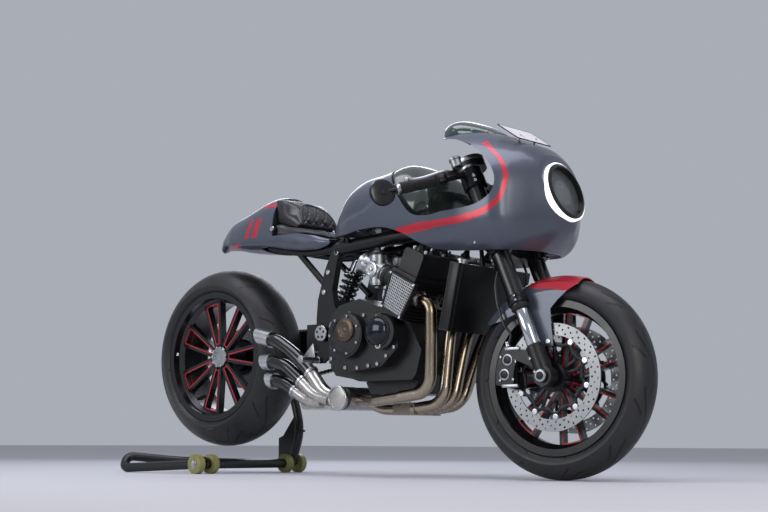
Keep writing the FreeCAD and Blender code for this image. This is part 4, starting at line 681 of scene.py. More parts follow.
def ribbon(points, width, height):
    """A flat closed strip along points in the XZ plane, standing on y = 0 towards -Y."""
    shape = bmesh.new()
    count = len(points)
    rows = []
    for k in range(count):
        before, here, after = (Vector(points[(k + d) % count]) for d in (-1, 0, 1))
        first, second = (here - before).normalized(), (after - here).normalized()
        across = Vector((-(first + second).y, (first + second).x)).normalized()
        stretch = 1 / max(0.4, across.dot(Vector((-first.y, first.x))))
        sides = [here + across * (s * width / 2 * stretch) for s in (-1, 1)]
        rows.append([shape.verts.new(Vector((p.x, y, p.y)) * MM) for p in sides for y in (0, -height)])
    for k in range(count):
        a, b = rows[k], rows[(k + 1) % count]
        for p, q in ((1, 3), (3, 2), (2, 0), (0, 1)):
            shape.faces.new((a[p], a[q], b[q], b[p]))
    bmesh.ops.recalc_face_normals(shape, faces=shape.faces)
    mesh = bpy.data.meshes.new("strip")
    shape.to_mesh(mesh)
    shape.free()
    return in_hand(bpy.data.objects.new("strip", mesh))


def spoke_window(radius_in, radius_out, near, far, inset):
    """The window between a pair of spokes: its two sides, and the rim's arc between them."""
    def edge(radius):
        return near + (far - near) * (radius - 32) / 166 - 7.5 + inset
    half = math.asin(edge(radius_out) / radius_out)
    arc = [(radius_out * math.cos(a), radius_out * math.sin(a)) for a in (half * (k / 4 - 1) for k in range(9))]
    return [(radius_in, edge(radius_in)), (radius_in, -edge(radius_in))] + arc


for name, wheel, place, levels, reach in (("front", "front_wheel", STEERED, (-12, 12), 40),
                                          ("rear", "rear_wheel", REAR_WHEEL, (-50, -24), 48)):
    for level, (side, hand) in zip(levels, SIDES):
        ribbon(spoke_window(reach, 193.5, 11, 36, 2.2), 4.0, 0.6)
        strip = finish_off(f"{name}_pinstripe_{hand}", wheel, red_line, angle=20)
        flip = moved(0, level, 0) @ turned(90 + side * 90, "X")
        repeated(strip, strip.name, [place @ turned(360 * k / 7, "Y") @ flip for k in range(7)])


# Brake discs: ground stainless rings drilled in three rows, on black carriers with steel bobbins
disc_steel = surface("ground_stainless", "#8e9092", 0.36, metal=1.0, grain=0.6, grain_height=0.02, mottle=0.05,
                     haze=0.07)
carrier_black = surface("black_anodised_aluminium", "#1a1b1f", 0.34, metal=0.6, grain=0.8, grain_height=0.04,
                        haze=0.07)


def drilled_ring(name, outer, inner, thick, rows, holes, hole_radius, place, body):
    """A flat ring cut through by rows of round holes."""
    clear()
    bpy.ops.mesh.primitive_cylinder_add(vertices=120, radius=outer * MM, depth=thick * MM)
    ring = bpy.context.object
    bpy.ops.mesh.primitive_cylinder_add(vertices=96, radius=inner * MM, depth=40 * MM)
    cutter = bpy.context.object
    drill = bmesh.new()
    drill.from_mesh(cutter.data)
    for row, radius in enumerate(rows):
        for k in range(holes):
            turn = math.tau * (k + row / len(rows) + 0.1 * row) / holes
            bmesh.ops.create_cone(drill, cap_ends=True, segments=10, radius1=hole_radius * MM,
                                  radius2=hole_radius * MM, depth=30 * MM,
                                  matrix=Matrix.Translation((radius * math.cos(turn) * MM,
                                  radius * math.sin(turn) * MM, 0)))
    drill.to_mesh(cutter.data)
    drill.free()
    in_hand(ring)
    applied(ring, "BOOLEAN", object=cutter, operation="DIFFERENCE", solver="EXACT", use_self=False)
    bpy.data.objects.remove(cutter)
    return finish_off(name, body, disc_steel, place @ turned(90, "X"), angle=25)


for side, name in SIDES:
    middle = STEERED @ moved(0, side * 64.5, 0)
    ring = drilled_ring(f"{name}_disc_ring", 160, 124, 5, (131.5, 142, 152.5), 30, 3.4, middle, "front_wheel")
    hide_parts(f"{name}_front_disc")
    clear()
    bpy.ops.mesh.primitive_circle_add(vertices=120, radius=104 * MM, rotation=(math.pi / 2, 0, 0))
    bpy.ops.object.transform_apply(location=False, rotation=True, scale=False)
    lobes = bpy.context.object
    for vertex in lobes.data.vertices:
        turn = math.atan2(vertex.co.z, vertex.co.x)
        vertex.co *= 1 + 0.125 * max(0, math.cos(10 * turn)) ** 0.6
    all_in_edit()
    bpy.ops.mesh.extrude_region_move(TRANSFORM_OT_translate={"value": (0, 0, 0)})
    bpy.ops.transform.resize(value=(0.87, 1, 0.87), center_override=(0, 0, 0))
    bpy.ops.object.mode_set(mode="OBJECT")
    applied(lobes, "SOLIDIFY", thickness=6 * MM, offset=0)
    finish_off(f"{name}_carrier_ring", "front_wheel", carrier_black, middle, bevel=0.8)
    block((60, 6, 11), (66, 0, 0))
    pick_faces(lambda face: face.normal.x > 0.9)
    bpy.ops.transform.resize(value=(1, 1, 0.7), center_override=(96 * MM, 0, 0))
    arms = finish_off(f"{name}_carrier_arms", "front_wheel", carrier_black, bevel=1.5)
    repeated(arms, arms.name,
             [middle @ turned(72 * (k + lean), "Y") for k in range(5) for lean in (-0.13, 0.13)])
    round_cap(f"{name}_carrier_hub", (0, 0, 0), (0, side, 0), [(24, -4), (44, -4), (44, 3), (40, 4), (24, 4)],
              carrier_black, body="front_wheel", within=middle)
    clear()
    bpy.ops.mesh.primitive_cylinder_add(vertices=18, radius=9 * MM, depth=8 * MM, rotation=(math.pi / 2, 0, 0),
            location=(117 * MM, 0, 0))
    pick_faces(lambda face: abs(face.normal.z) > 0.9 and len(face.verts) > 6)
    bpy.ops.mesh.inset(thickness=2.2 * MM)
    bpy.ops.mesh.inset(thickness=1.2 * MM)
    bobbins = finish_off(f"{name}_bobbins", "front_wheel", plated_bolt, bevel=0.6)
    repeated(bobbins, bobbins.name, [middle @ turned(36 * k, "Y") for k in range(10)])
rear_ring = drilled_ring("rear_disc_ring", 108, 62, 5, (74, 85, 96), 26, 3.2,
                         REAR_WHEEL @ moved(0, 64.5, 0), "rear_wheel")
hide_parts("rear_disc")
round_cap("rear_disc_carrier", (-725, 62, 412), (0, 1, 0), [(28.5, 0), (70, 0), (70, 4.6), (66, 5.2), (28.5, 5.2)],
          carrier_black, body="rear_wheel")

# Hub nut of the rear wheel: a big castellated nut turned from aluminium, which holds the wheel on its one side.
# A plated valve stem stands in each rim.
dress(machined_face, "rear_axle", "front_axle")
round_cap("hub_nut_face", (-725, -54, 412), (0, -1, 0), [(36.3, -16), (37, -15), (37, -2), (34, 1), (26, 1.5),
        (25, -1), (19, -2)], bright_mesh, body="rear_wheel")
block((8, 6, 9), (34, 0, 0))
teeth = finish_off("hub_nut_teeth", "rear_wheel", bright_mesh, bevel=1)
repeated(teeth, "hub_nut_teeth", [REAR_WHEEL @ moved(0, -55, 0) @ turned(36 * k, "Y") for k in range(10)])
for name, wheel, place, out in (("front", "front_wheel", STEERED, -10), ("rear", "rear_wheel", REAR_WHEEL, -20)):
    round_cap(f"{name}_valve", (0, 0, 0), (0, 0, 1), [(6, 0), (4, 3), (4, 22), (3, 24), (3, 32), (2, 33)],
              plated_bolt, body=wheel, steps=16, within=place @ turned(25.7, "Y") @ moved(0, out,
              194) @ turned(180, "X"))

# Fork: gloss black outer tubes over hard chromed inner tubes, black cast feet, and two machined clamps
hard_chrome = surface("hard_chrome", "#c4c7cc", 0.12, metal=1.0, haze=0.03, mottle=0.04)
dress(gloss_black, "left_fork_tube", "right_fork_tube")
dress(carrier_black, "lower_clamp", "upper_clamp")
dress(black_casting, "left_fork_slider", "right_fork_slider")
for side, name in SIDES:
    leg = moved(0, side * 104, 0)
    for label, profile, finish, slot in (("chrome_tube", [(21.4, 96.5), (21.75, 97), (21.75, 227), (21.4, 227.5)],
            hard_chrome, "steel"), ("dust_seal", [(22, 216), (26, 218), (28.4, 222), (28.4, 229), (27.1, 231),
            (26.8, 231)], manifold_rubber, "rubber"), ("leg_collar",
            [(27, 236), (31, 236), (31.6, 237), (31.6, 263), (31, 264), (27, 264)], carrier_black, "black_paint"),
            ("foot_rim", [(26, 90), (28, 91), (28, 96), (25, 100), (21.6, 102)], black_casting, "black_paint"),
            ("fork_cap", [(27, 700), (28.5, 702), (28.5, 708), (24, 711), (14, 712), (13, 716), (7, 716.5)],
             machined_face, "aluminium")):
        round_cap(f"{name}_{label}", (0, 0, 0), (0, 0, 1), profile, finish, "steering", 44, STEERED @ leg)
    cap_screws(f"{name}_collar_screws", 8, 5,
               [STEERED @ leg @ at((9, side * 29.5, z), (0.25, side, 0)) for z in (243, 257)], "steering")
    round_cap(f"{name}_axle_ring", (0, 0, 0), (0, side, 0),
              [(14.2, 131), (18, 131), (18.5, 132), (18.5, 138.5), (16, 140.2), (11, 140.2), (10.6, 136)],
              bright_mesh, "steering", 36, STEERED)
    round_cap(f"{name}_axle_plug", (0, side * 137.6, 0), (0, side, 0),
              [(12.4, 0), (12.4, 2.9), (10.5, 3.3), (3, 3.3)], carrier_black, "steering", 30,
              STEERED)
    cap_screws(f"{name}_pinch_bolts", 9, 6,
               [STEERED @ at((-16, side * 128, z), (0, side, 0)) for z in (20, 62)], "steering")
for height, name in ((408, "lower"), (636, "upper")):
    cap_screws(f"{name}_clamp_bolts", 10, 7,
               [STEERED @ at((26, side * 138, height + z), (0.3, side, 0)) for side in (-1, 1) for z in (9, 25)],
               "steering")
round_cap("stem_nut", (0, 0, 0), (0, 0, 1), [(18, 0), (18, 6), (15, 8), (8, 8.5), (7, 5)], machined_face,
          "steering", 24, STEERED @ moved(-30, 0, 669))

# Front brakes: black two-piece radial calipers with steel piston rings, banjo bolts and bright bridge bars.
# Braided hoses in a dark clear sleeve run to them from the lower clamp.
caliper_black = surface("black_caliper_coating", "#1b1c20", 0.38, metal=0.3, grain=1.0, grain_height=0.08,
                        haze=0.07)
dress(caliper_black, "left_caliper", "right_caliper")
hose_sleeve = surface("hose_sleeve", "#1a1b1e", 0.3, grain=1.2, grain_height=0.25, haze=0.05, Coat_Weight=0.3)
dress(hose_sleeve, "brake_hoses")
CALIPER_FACE = 98.5
for side, name in SIDES:
    for number, (x, z) in enumerate(((-104, 102), (-131, 66))):
        round_cap(f"{name}_piston_{number}", (x, side * CALIPER_FACE, z), (0, side, 0),
                  [(17, -1), (17, 2.2), (13.5, 3), (13, 1.2), (9, 1), (8, 2.5), (3, 2.8)], bright_mesh,
                  "steering", 32, STEERED)
        round_cap(f"{name}_piston_core_{number}", (x, side * (CALIPER_FACE + 1), z), (0, side, 0),
                  [(12.2, 0), (12.2, 2), (10, 2.6), (3, 2.6)], carrier_black, "steering", 28,
                  STEERED)
    for number, (start, end) in enumerate((((-100, 136), (-52, 116)), ((-152, 38), (-100, 16)))):
        block((math.dist(start, end), 9, 10))
        tilt = math.degrees(math.atan2(end[1] - start[1], end[0] - start[0]))
        finish_off(f"{name}_caliper_bar_{number}", "steering", bright_mesh,
                   STEERED @ moved((start[0] + end[0]) / 2, side * 97, (start[1] + end[1]) / 2) @ turned(-tilt,
                   "Y"), bevel=2)
    cap_screws(f"{name}_caliper_bolts", 9, 5,
               [STEERED @ at((x, side * CALIPER_FACE, z), (0, side, 0))
                for x, z in ((-80, 86), (-122, 120), (-150, 56), (-108, 40))], "steering")
    round_cap(f"{name}_banjo", (-94.5, side * 84, 142), (0, 0, 1), [(8, 0), (8, 8), (6, 10), (6, 15), (3, 15.5)],
              plated_bolt, "steering", 20, STEERED)

# Handlebars: short clip-on bars on machined rings, rubber grips with turned ribs, forged levers, a brake
# reservoir and switch blocks. A round mirror hangs outboard of each bar's end.
dress(carrier_black, "left_clip_on", "right_clip_on")
grip_rubber = surface("ribbed_grip_rubber", "#141416", 0.66, grain=1.1, grain_height=0.2)
mirror_glass = surface("silvered_glass", "#aab0b6", 0.03, metal=1.0)
dress(grip_rubber, "left_grip", "right_grip")
bar_sweep, bar_drop = math.radians(31), math.radians(5.5)
bar_way = Vector((-math.sin(bar_sweep) * math.cos(bar_drop), math.cos(bar_sweep) * math.cos(bar_drop),
                  -math.sin(bar_drop)))
bar_root = Vector((-6, 134, 684))


def smooth_rod(name, points, radius, finish, body, place, sides=3):
    """A round rod along one smooth curve."""
    curve = bpy.data.curves.new(name, "CURVE")
    curve.dimensions, curve.use_fill_caps = "3D", True
    curve.bevel_depth, curve.bevel_resolution = radius * MM, sides
    line = curve.splines.new("NURBS")
    line.points.add(len(points) - 1)
    for point, spot in zip(line.points, points):
        point.co = (*(Vector(spot) * MM), 1)
    line.order_u, line.use_endpoint_u, line.resolution_u = 3, True, 8
    in_hand(bpy.data.objects.new(name, curve))
    bpy.ops.object.convert(target="MESH")
    return finish_off(name, body, finish, place, angle=50)


for side, name in SIDES:
    mirror = Matrix.Diagonal((1, side, 1, 1))
    way, root = mirror @ bar_way, mirror @ bar_root
    ahead = Vector((way.y * side, -way.x * side, 0)).normalized()
    ribs = round_cap(f"{name}_grip_ribs", (0, 0, 0), (0, 0, 1), [(16.8, 0), (18.3, 0.8), (18.3, 2.6), (16.8, 3.4)],
                     grip_rubber, "steering", 26)
    repeated(ribs, ribs.name, [STEERED @ at(root + way * along, way) for along in range(114, 228, 7)])
    round_cap(f"{name}_grip_flange", (0, 0, 0), (0, 0, 1), [(12, 0), (23, 0), (24, 1.5), (23, 4), (17, 5)],
              grip_rubber, "steering", 28, STEERED @ at(root + way * 105, way))
    round_cap(f"{name}_bar_end", (0, 0, 0), (0, 0, 1), [(14, 0), (17.5, 2), (17.5, 9), (14, 12), (6, 13), (4, 10)],
              machined_face, "steering", 28, STEERED @ at(root + way * 234, way))
    block((34, 30, 38))
    finish_off(f"{name}_switch_block", "steering", black_casting, STEERED @ at(root + way * 82, way),
               bevel=7)
    smooth_rod(f"{name}_lever", [root + way * along + ahead * out + Vector((0, 0, up)) for along, out, up in (
        (56, 16, 0), (70, 46, 0), (110, 56, 0), (170, 46, -4), (214, 44, 0), (228, 52, 0))],
               5, machined_face, "steering", STEERED)
    clear()
    bpy.ops.mesh.primitive_uv_sphere_add(segments=18, ring_count=12, radius=7.5 * MM)
    finish_off(f"{name}_lever_ball", "steering", machined_face,
               STEERED @ moved(*(root + way * 228 + ahead * 52)))
    block((30, 24, 44))
    finish_off(f"{name}_lever_perch", "steering", black_casting,
               STEERED @ at(root + way * 56 + ahead * 14, way), bevel=5)
    round_cap(f"{name}_reservoir", (0, 0, 0), (0, 0, 1),
              [(15, 0), (17, 2), (17, 24), (19, 25), (19, 31), (16, 34), (5, 34.5)], zinc_casting,
              "steering", 28, STEERED @ moved(*(root + way * 40 + ahead * 42 + Vector((0, 0, 8)))))
    centre = mirror @ (bar_root + bar_way * 234 + Vector((-0.72, 0.7, 0)).normalized() * 53)
    facing = mirror @ Vector((0.85, 0.45, -0.25)).normalized()
    round_cap(f"{name}_mirror_glass", (0, 0, 0), (0, 0, 1), [(36.5, 0), (36.5, 0.8), (20, 0.8), (4, 0.8)],
              mirror_glass, "steering", 44, STEERED @ at(centre - facing * 6.1, -facing))
    round_cap(f"{name}_mirror_back", (0, 0, 0), (0, 0, 1),
              [(41, 0), (40, 2.5), (34, 4.5), (16, 6), (10, 6.2), (9, 9), (4, 10)], gloss_black,
              "steering", 44, STEERED @ at(centre + facing * 5.9, facing))

# Instrument: one round gauge in a turned aluminium bezel, with plain unmarked ticks and a red needle. It stands
# on two bent rods between two warning lamps, over the key switch.
gauge_black = surface("gauge_face", "#0e0f12", 0.6, grain=0.6, grain_height=0.02)
tick_white = surface("gauge_ticks", "#e6e6e2", 0.5, mottle=0.05)
black_plastic = surface("moulded_black_plastic", "#131417", 0.46, grain=1.1, grain_height=0.12, haze=0.06)
dress(black_plastic, "instrument")
DIAL = STEERED @ moved(-43, 0, 782)
round_cap("gauge_dial", (0, 0, 0), (0, 0, 1), [(41, 0), (41, 0.5), (20, 0.5), (3, 0.5)], gauge_black,
          "steering", within=DIAL)
round_cap("gauge_bezel", (0, 0, 0), (0, 0, 1),
          [(46.3, -14), (47, -13), (47, -1), (44.5, 2.5), (41.5, 2.5), (40.5, 0.6), (39, 0.3)], machined_face,
          "steering", within=DIAL)
block((6, 1.2, 0.5), (35, 0, 0.9))
ticks = finish_off("gauge_ticks", "steering", tick_white)
repeated(ticks, "gauge_ticks", [DIAL @ turned(-135 + 15 * k, "Z") for k in range(19)])
clear()
bpy.ops.mesh.primitive_cone_add(vertices=4, radius1=2 * MM, radius2=0.4 * MM, depth=34 * MM,
                                location=(15 * MM, 0, 1.6 * MM), rotation=(0, math.pi / 2, 0))
finish_off("gauge_needle", "steering", red_line, DIAL @ turned(-120, "Z"))
round_cap("key_switch", (-62, 0, 684), (0, 0, 1), [(17, -14), (17, 6), (15, 8), (9, 8), (8, 6.4), (3, 6.2)],
          machined_face, "steering", 32, STEERED)
for side, name in SIDES:
    smooth_rod(f"{name}_dial_bracket", [(-40, side * 6, 672), (-60, side * 30, 690), (-52, side * 38, 730),
            (-40, side * 34, 748)], 4, carrier_black, "steering", STEERED)
    round_cap(f"{name}_warning_lamp", (-78, side * 36, 772), (-0.5, 0, 0.85),
              [(7, -8), (7, 0), (6, 1), (5, 0.4), (4.6, 2.4), (2, 3.4)], machined_face, "steering", 20,
              STEERED)
cap_screws("head_bolts", 9, 6, [STEERED @ at((x, y, 670), (0, 0, 1)) for x,
                                y in ((-8, -70), (-8, 70), (-44, -30), (-44, 30))], "steering")

# Front mudguard: moulded composite, painted like the body, with a red patch over its crown. Bolts and black
# bosses hold it to the fork's feet.


def body_paint(name):
    """Slate grey pearl under a satin clear coat."""
    return surface(name, "#505664", 0.32, metal=0.35, grain=0.9, grain_height=0.012, mottle=0.05, mottle_size=240,
                   haze=0.04, Coat_Weight=0.35, Coat_Roughness=0.12)


def side_view(tree):
    """How far ahead and how high a point of the object is, in metres."""
    where = node(tree, "ShaderNodeTexCoord")
    spot = node(tree, "ShaderNodeSeparateXYZ", links={"Vector": where.outputs["Object"]})
    return spot.outputs["X"], spot.outputs["Z"]


def red_where(finish, depth):
    """Paints a finish red where a depth in metres is above nought."""
    tree = finish.node_tree
    base = tree.nodes["Principled BSDF"].inputs["Base Color"]
    mask = node(tree, "ShaderNodeMapRange", {"From Min": -0.4 * MM, "From Max": 0.4 * MM}, {"Value": depth})
    mixed = node(tree, "ShaderNodeMix", {"data_type": "RGBA"},
                 {0: mask.outputs["Result"], 6: base.links[0].from_socket})
    mixed.inputs[7].default_value = colour("#c0283a")
    tree.links.new(mixed.outputs[2], base)
    return finish


def painted_band(name, centre, inner, outer):
    """Body paint with a red band between two curves, each of (degrees, millimetres) about a point of the side."""
    finish = body_paint(name)
    tree = finish.node_tree
    x, z = side_view(tree)
    along, up = maths(tree, "SUBTRACT", x, centre[0] * MM), maths(tree, "SUBTRACT", z, centre[1] * MM)
    share = maths(tree, "MULTIPLY_ADD", maths(tree, "ARCTAN2", up, along), 1 / math.tau, 0.5)
    radius = maths(tree, "SQRT", maths(tree, "MULTIPLY_ADD", up, up, maths(tree, "MULTIPLY", along, along)))
    edges = []
    for curve_points in (inner, outer):
        curve = node(tree, "ShaderNodeFloatCurve", links={"Value": share})
        line = curve.mapping.curves[0]
        marks = [(degrees / 360 + 0.5, reach / 1000) for degrees, reach in curve_points]
        line.points[0].location, line.points[1].location = marks[0], marks[-1]
        for mark in marks[1:-1]:
            line.points.new(*mark)
        for point in line.points:
            if abs(point.location.x - 0.5) > 0.37 or point.location.y > 0.9 or point.location.y < 0.02:
                point.handle_type = "VECTOR"
        curve.mapping.update()
        edges.append(curve.outputs["Value"])
    return red_where(finish, maths(tree, "MINIMUM", maths(tree, "SUBTRACT", radius, edges[0]),
                                   maths(tree, "SUBTRACT", edges[1], radius)))


# The mudguard's red patch lies over its crown
fender_paint = painted_band("slate_pearl_with_red_crown", (725, 300),
                            [(-180, 900), (60, 262), (70, 262), (80, 260), (90, 263), (98, 268), (105, 281),
                             (108, 330), (180, 900)], [(-180, 10), (50, 800), (108, 800), (180, 10)])
dress(fender_paint, "front_fender")
for side, name in SIDES:
    round_cap(f"{name}_fender_bolt", (32, side * 76.2, 100), (0, side, 0), [(8, 0), (8, 3), (6, 4.5), (3, 4.5)],
              plated_bolt, "steering", 20, STEERED)
    round_cap(f"{name}_fender_boss", (-2, side * 76.5, 246), (0, side, 0), [(11, -2), (11, 3), (7, 4), (3, 4)],
              carrier_black, "steering", 24, STEERED)

# Body shell: hand-laid fibreglass with a C-shaped opening for the bars, filled, sanded and painted.
# A red stripe follows the opening round and runs back along the belly; a crease marks the knee's hollow.
stripe_inner = [(-180, 999), (-150, 999), (-149.5, 300), (-148.2, 290.5), (-141.7, 241), (-137.2, 218),
                (-131.7, 195.5), (-105.9, 152.9), (-70.2, 150.9), (-49.9, 173.9), (-38.6, 189.3), (-29.2, 194.7),
                (-21.5, 191.3), (-13.3, 184.5), (-3.5, 171.8), (7.5, 153), (26.6, 122.9), (49.9, 106.3), (53, 104),
                (53.4, 999), (180, 999)]
stripe_outer = [(-180, 10), (-150, 10), (-147, 322), (-141.2, 287.4), (-136.9, 258.9), (-130.6, 230.5),
                (-122.7, 205.5), (-104.7, 173.7), (-69.3, 175.3), (-52.4, 193.2), (-40.3, 205.8), (-31.8, 208.5),
                (-23, 202.8), (-14.3, 196.1), (-7.1, 188.3), (5.5, 166.7), (23.1, 136.8), (43.6, 121), (53, 117.5),
                (53.4, 10), (180, 10)]
shell_paint = painted_band("slate_pearl_with_red_stripe", (470, 930), stripe_inner, stripe_outer)


KNEE_LINE = (Vector((-62, 806)), Vector((6, 834)), Vector((70, 846)), Vector((150, 884)))
SHELL_STATIONS = ((-116, 104, 800, 770, 740), (-98, 122, 858, 775, 720), (-72, 136, 915, 790, 700),
                  (-42, 150, 955, 800, 690), (14, 164, 980, 810, 680), (100, 178, 990, 815, 670),
                  (180, 190, 1008, 812, 660), (260, 198, 1045, 808, 656), (340, 206, 1080, 800, 652),
                  (420, 216, 1084, 795, 652), (507, 226, 1068, 790, 652), (600, 226, 1034, 795, 655),
                  (640, 212, 1016, 800, 662), (664, 188, 1006, 800, 672), (690, 154, 984, 815, 690),
                  (710, 124, 964, 830, 706), (728, 98, 944, 840, 722), (744, 74, 925, 842, 740),
                  (762, 40, 884, 838, 770))
BELLY_EDGE = ((-150, 792), (-97, 784), (-25, 782), (60, 790), (162, 787), (246, 763), (320, 724), (384, 699),
              (480, 688), (590, 683), (788, 680), (900, 680))
BAR_OPENING = ((-160, 1080), (40, 1040), (130, 985), (190, 930), (228, 884), (262, 845), (292, 819), (325, 807),
               (362, 803), (400, 804), (430, 807), (493, 808), (552, 812), (592, 824), (618, 842), (628, 868),
               (625, 898), (606, 931), (578, 958), (537, 992), (493, 1018), (443, 1037), (395, 1051), (336, 1062))
TANK_STATIONS = ((-30, 100, 918, 835, 780), (0, 126, 948, 840, 780), (60, 146, 972, 842, 780),
                 (105, 154, 981, 842, 780), (148, 160, 1001, 842, 780), (220, 166, 990, 842, 780),
                 (280, 160, 955, 842, 780), (318, 140, 905, 842, 780))


def eased(rows, longest):
    """A row of numbers drawn out along a smooth curve through all of them, in steps of at most a length."""
    out = []
    for k in range(len(rows) - 1):
        a, b, c, d = rows[max(0, k - 1)], rows[k], rows[k + 1], rows[min(len(rows) - 1, k + 2)]
        steps = max(1, round(math.dist(b[:2], c[:2]) / longest))
        for step in range(steps):
            t = step / steps
            out.append(tuple(0.5 * (2 * q + (r - p) * t + (2 * p - 5 * q + 4 * r - s) * t * t
                                    + (3 * q - p - 3 * r + s) * t ** 3) for p, q, r, s in zip(a, b, c, d)))
    return out + [tuple(rows[-1])]


def from_line(point, line):
    """The distance from a broken line, the side of it (1 is left) and the share of the way along it."""
    best = (1e9, 0, 0)
    for k, (a, b) in enumerate(zip(line, line[1:])):
        t = max(0, min(1, (point - a).dot(b - a) / (b - a).length_squared))
        gap = point - (a + (b - a) * t)
        if gap.length < best[0]:
            best = (gap.length, math.copysign(1, (b - a).x * gap.y - (b - a).y * gap.x), (k + t) / (len(line) - 1))
    return best


def outward(piece):
    """Links a closed form, turns its faces outwards and leaves it active."""
    in_hand(piece)
    all_in_edit()
    bpy.ops.mesh.normals_make_consistent(inside=False)
    bpy.ops.object.mode_set(mode="OBJECT")
    return piece


def rounded(value):
    """A cosine or sine drawn out towards a rounded box's outline."""
    return math.copysign(abs(value) ** (2 / 2.4), value)


def rounded_loft(name, stations, grow=0.0, around=160, hollow=0.0):
    """A closed form through rounded stations, each (x, half width, top, widest height, bottom)."""
    rings = eased(stations, 6)
    points, faces = [], [tuple(range(around))[::-1], tuple(range((len(rings) - 1) * around, len(rings) * around))]
    for x, half, top, middle, bottom in rings:
        for k in range(around):
            c, s = math.cos(math.tau * k / around), math.sin(math.tau * k / around)
            y = (half + grow) * rounded(c)
            z = middle + ((top + grow - middle) if s > 0 else (middle - bottom + grow)) * rounded(s)
            if hollow and abs(y) > 90 and -80 < x < 170:
                gap, above, share = from_line(Vector((x, z)), KNEE_LINE)
                if above > 0:
                    fall = gap / 12 * math.exp(1 - gap / 12) * max(0, math.sin(math.pi * share)) ** 0.7
                    y -= math.copysign(hollow * fall, y)
            points.append((x * MM, y * MM, z * MM))
    for k in range(0, (len(rings) - 1) * around, around):
        faces += [(k + j, k + (j + 1) % around, k + around + (j + 1) % around, k + around + j)
                  for j in range(around)]
    mesh = bpy.data.meshes.new(name)
    mesh.from_pydata(points, [], faces)
    return outward(bpy.data.objects.new(name, mesh))


def slab_of(name, outline):
    """An outline of the side view, pushed out to both sides."""
    count = len(outline)
    mesh = bpy.data.meshes.new(name)
    mesh.from_pydata([(x * MM, y, z * MM) for y in (-0.4, 0.4) for x, z in outline], [],
                     [tuple(range(count)), tuple(range(count, 2 * count))[::-1]] +
                     [(k, (k + 1) % count, count + (k + 1) % count, count + k) for k in range(count)])
    return outward(bpy.data.objects.new(name, mesh))


def beyond(piece, depth):
    """Trims a form ahead of the lamp's plane and closes it there."""
    in_hand(piece)
    all_in_edit()
    bpy.ops.mesh.bisect(plane_co=LAMP @ Vector((0, 0, -depth * MM)), plane_no=(LAMP.to_3x3() @ Vector((0, 0, 1))),
                        use_fill=True, clear_outer=True)
    bpy.ops.object.mode_set(mode="OBJECT")
    return piece


LAMP = moved(732, 0, 860) @ turned(90 - 16, "Y")
shell = beyond(rounded_loft("painted_shell", SHELL_STATIONS, hollow=9), 0)
inside_form = beyond(rounded_loft("shell_inside", SHELL_STATIONS, -4, hollow=9), 4)
below = slab_of("belly_trim", [(-150, 500)] + eased(BELLY_EDGE, 8) + [(900, 500)])
opening = slab_of("bar_trim", [(-160, 1300)] + eased(BAR_OPENING, 6) + [(336, 1300)])
tank_room = rounded_loft("tank_room", TANK_STATIONS, 1, around=96)
clear()
bpy.ops.mesh.primitive_cylinder_add(vertices=128, radius=95 * MM, depth=200 * MM)
lamp_room = bpy.context.object
lamp_room.data.transform(LAMP)
for tool in (inside_form, below, opening, tank_room, lamp_room):
    in_hand(shell)
    applied(shell, "BOOLEAN", operation="DIFFERENCE", solver="EXACT", object=tool)
    bpy.data.objects.remove(tool)
# The cuts leave loose scraps: only the largest connected piece is kept
work = bmesh.new()
work.from_mesh(shell.data)
work.verts.ensure_lookup_table()
seen, largest = set(), set()
for first in work.verts:
    if first.index in seen:
        continue
    group, edge_of_group = {first.index}, [first]
    while edge_of_group:
        for link in edge_of_group.pop().link_edges:
            for vertex in link.verts:
                if vertex.index not in group:
                    group.add(vertex.index)
                    edge_of_group.append(vertex)
    seen |= group
    largest = group if len(group) > len(largest) else largest
bmesh.ops.delete(work, geom=[v for v in work.verts if v.index not in largest], context="VERTS")
work.to_mesh(shell.data)
work.free()
finish_off("painted_shell", "chassis", shell_paint, angle=32)
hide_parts("body_shell")
cap_screws("shell_screws", 8, 3, [at((x, side * y, z), (0, side, 0.2)) for x, y,
                                  z in ((-86, 137, 800), (560, 214.5, 700)) for side in (-1, 1)])

# Fuel tank: pressed steel, painted a dark green grey under gloss. A turned filler cap is held on its crown by
# six screws.
tank_gloss = surface("dark_green_grey_enamel", "#39443f", 0.2, metal=0.3, mottle=0.06, haze=0.05, mottle_size=180,
                     Coat_Weight=0.6, Coat_Roughness=0.06)
dress(tank_gloss, "fuel_tank")
round_cap("filler_ring", (140, 0, 994), (-0.12, 0, 0.99), [(46, 0), (45, 5), (38, 7), (36, 7), (34, 11), (26, 13),
        (6, 13.5)], machined_face)
cap_screws("filler_screws", 6, 3,
           [at((140 + 41 * math.cos(a), 41 * math.sin(a), 999.5 + 5 * math.cos(a)), (-0.12, 0, 0.99))
            for a in (math.tau * k / 6 for k in range(6))])

# Fly screen: a blister blown from smoked green acrylic sheet, held to the shell by small screws along both
# of its edges.
screen_tint = surface("smoked_green_acrylic", "#3b4b49", 0.1, metal=0.25, haze=0.03, Coat_Weight=0.8,
                      Coat_Roughness=0.04)
dress(screen_tint, "fly_screen")
cap_screws("screen_screws", 7, 3, [at((x, side * y, z), (0, side * 0.75, 0.65)) for x, y,
                                   z in ((372, 78, 1086), (440, 73, 1080), (488, 55, 1072)) for side in (-1, 1)])

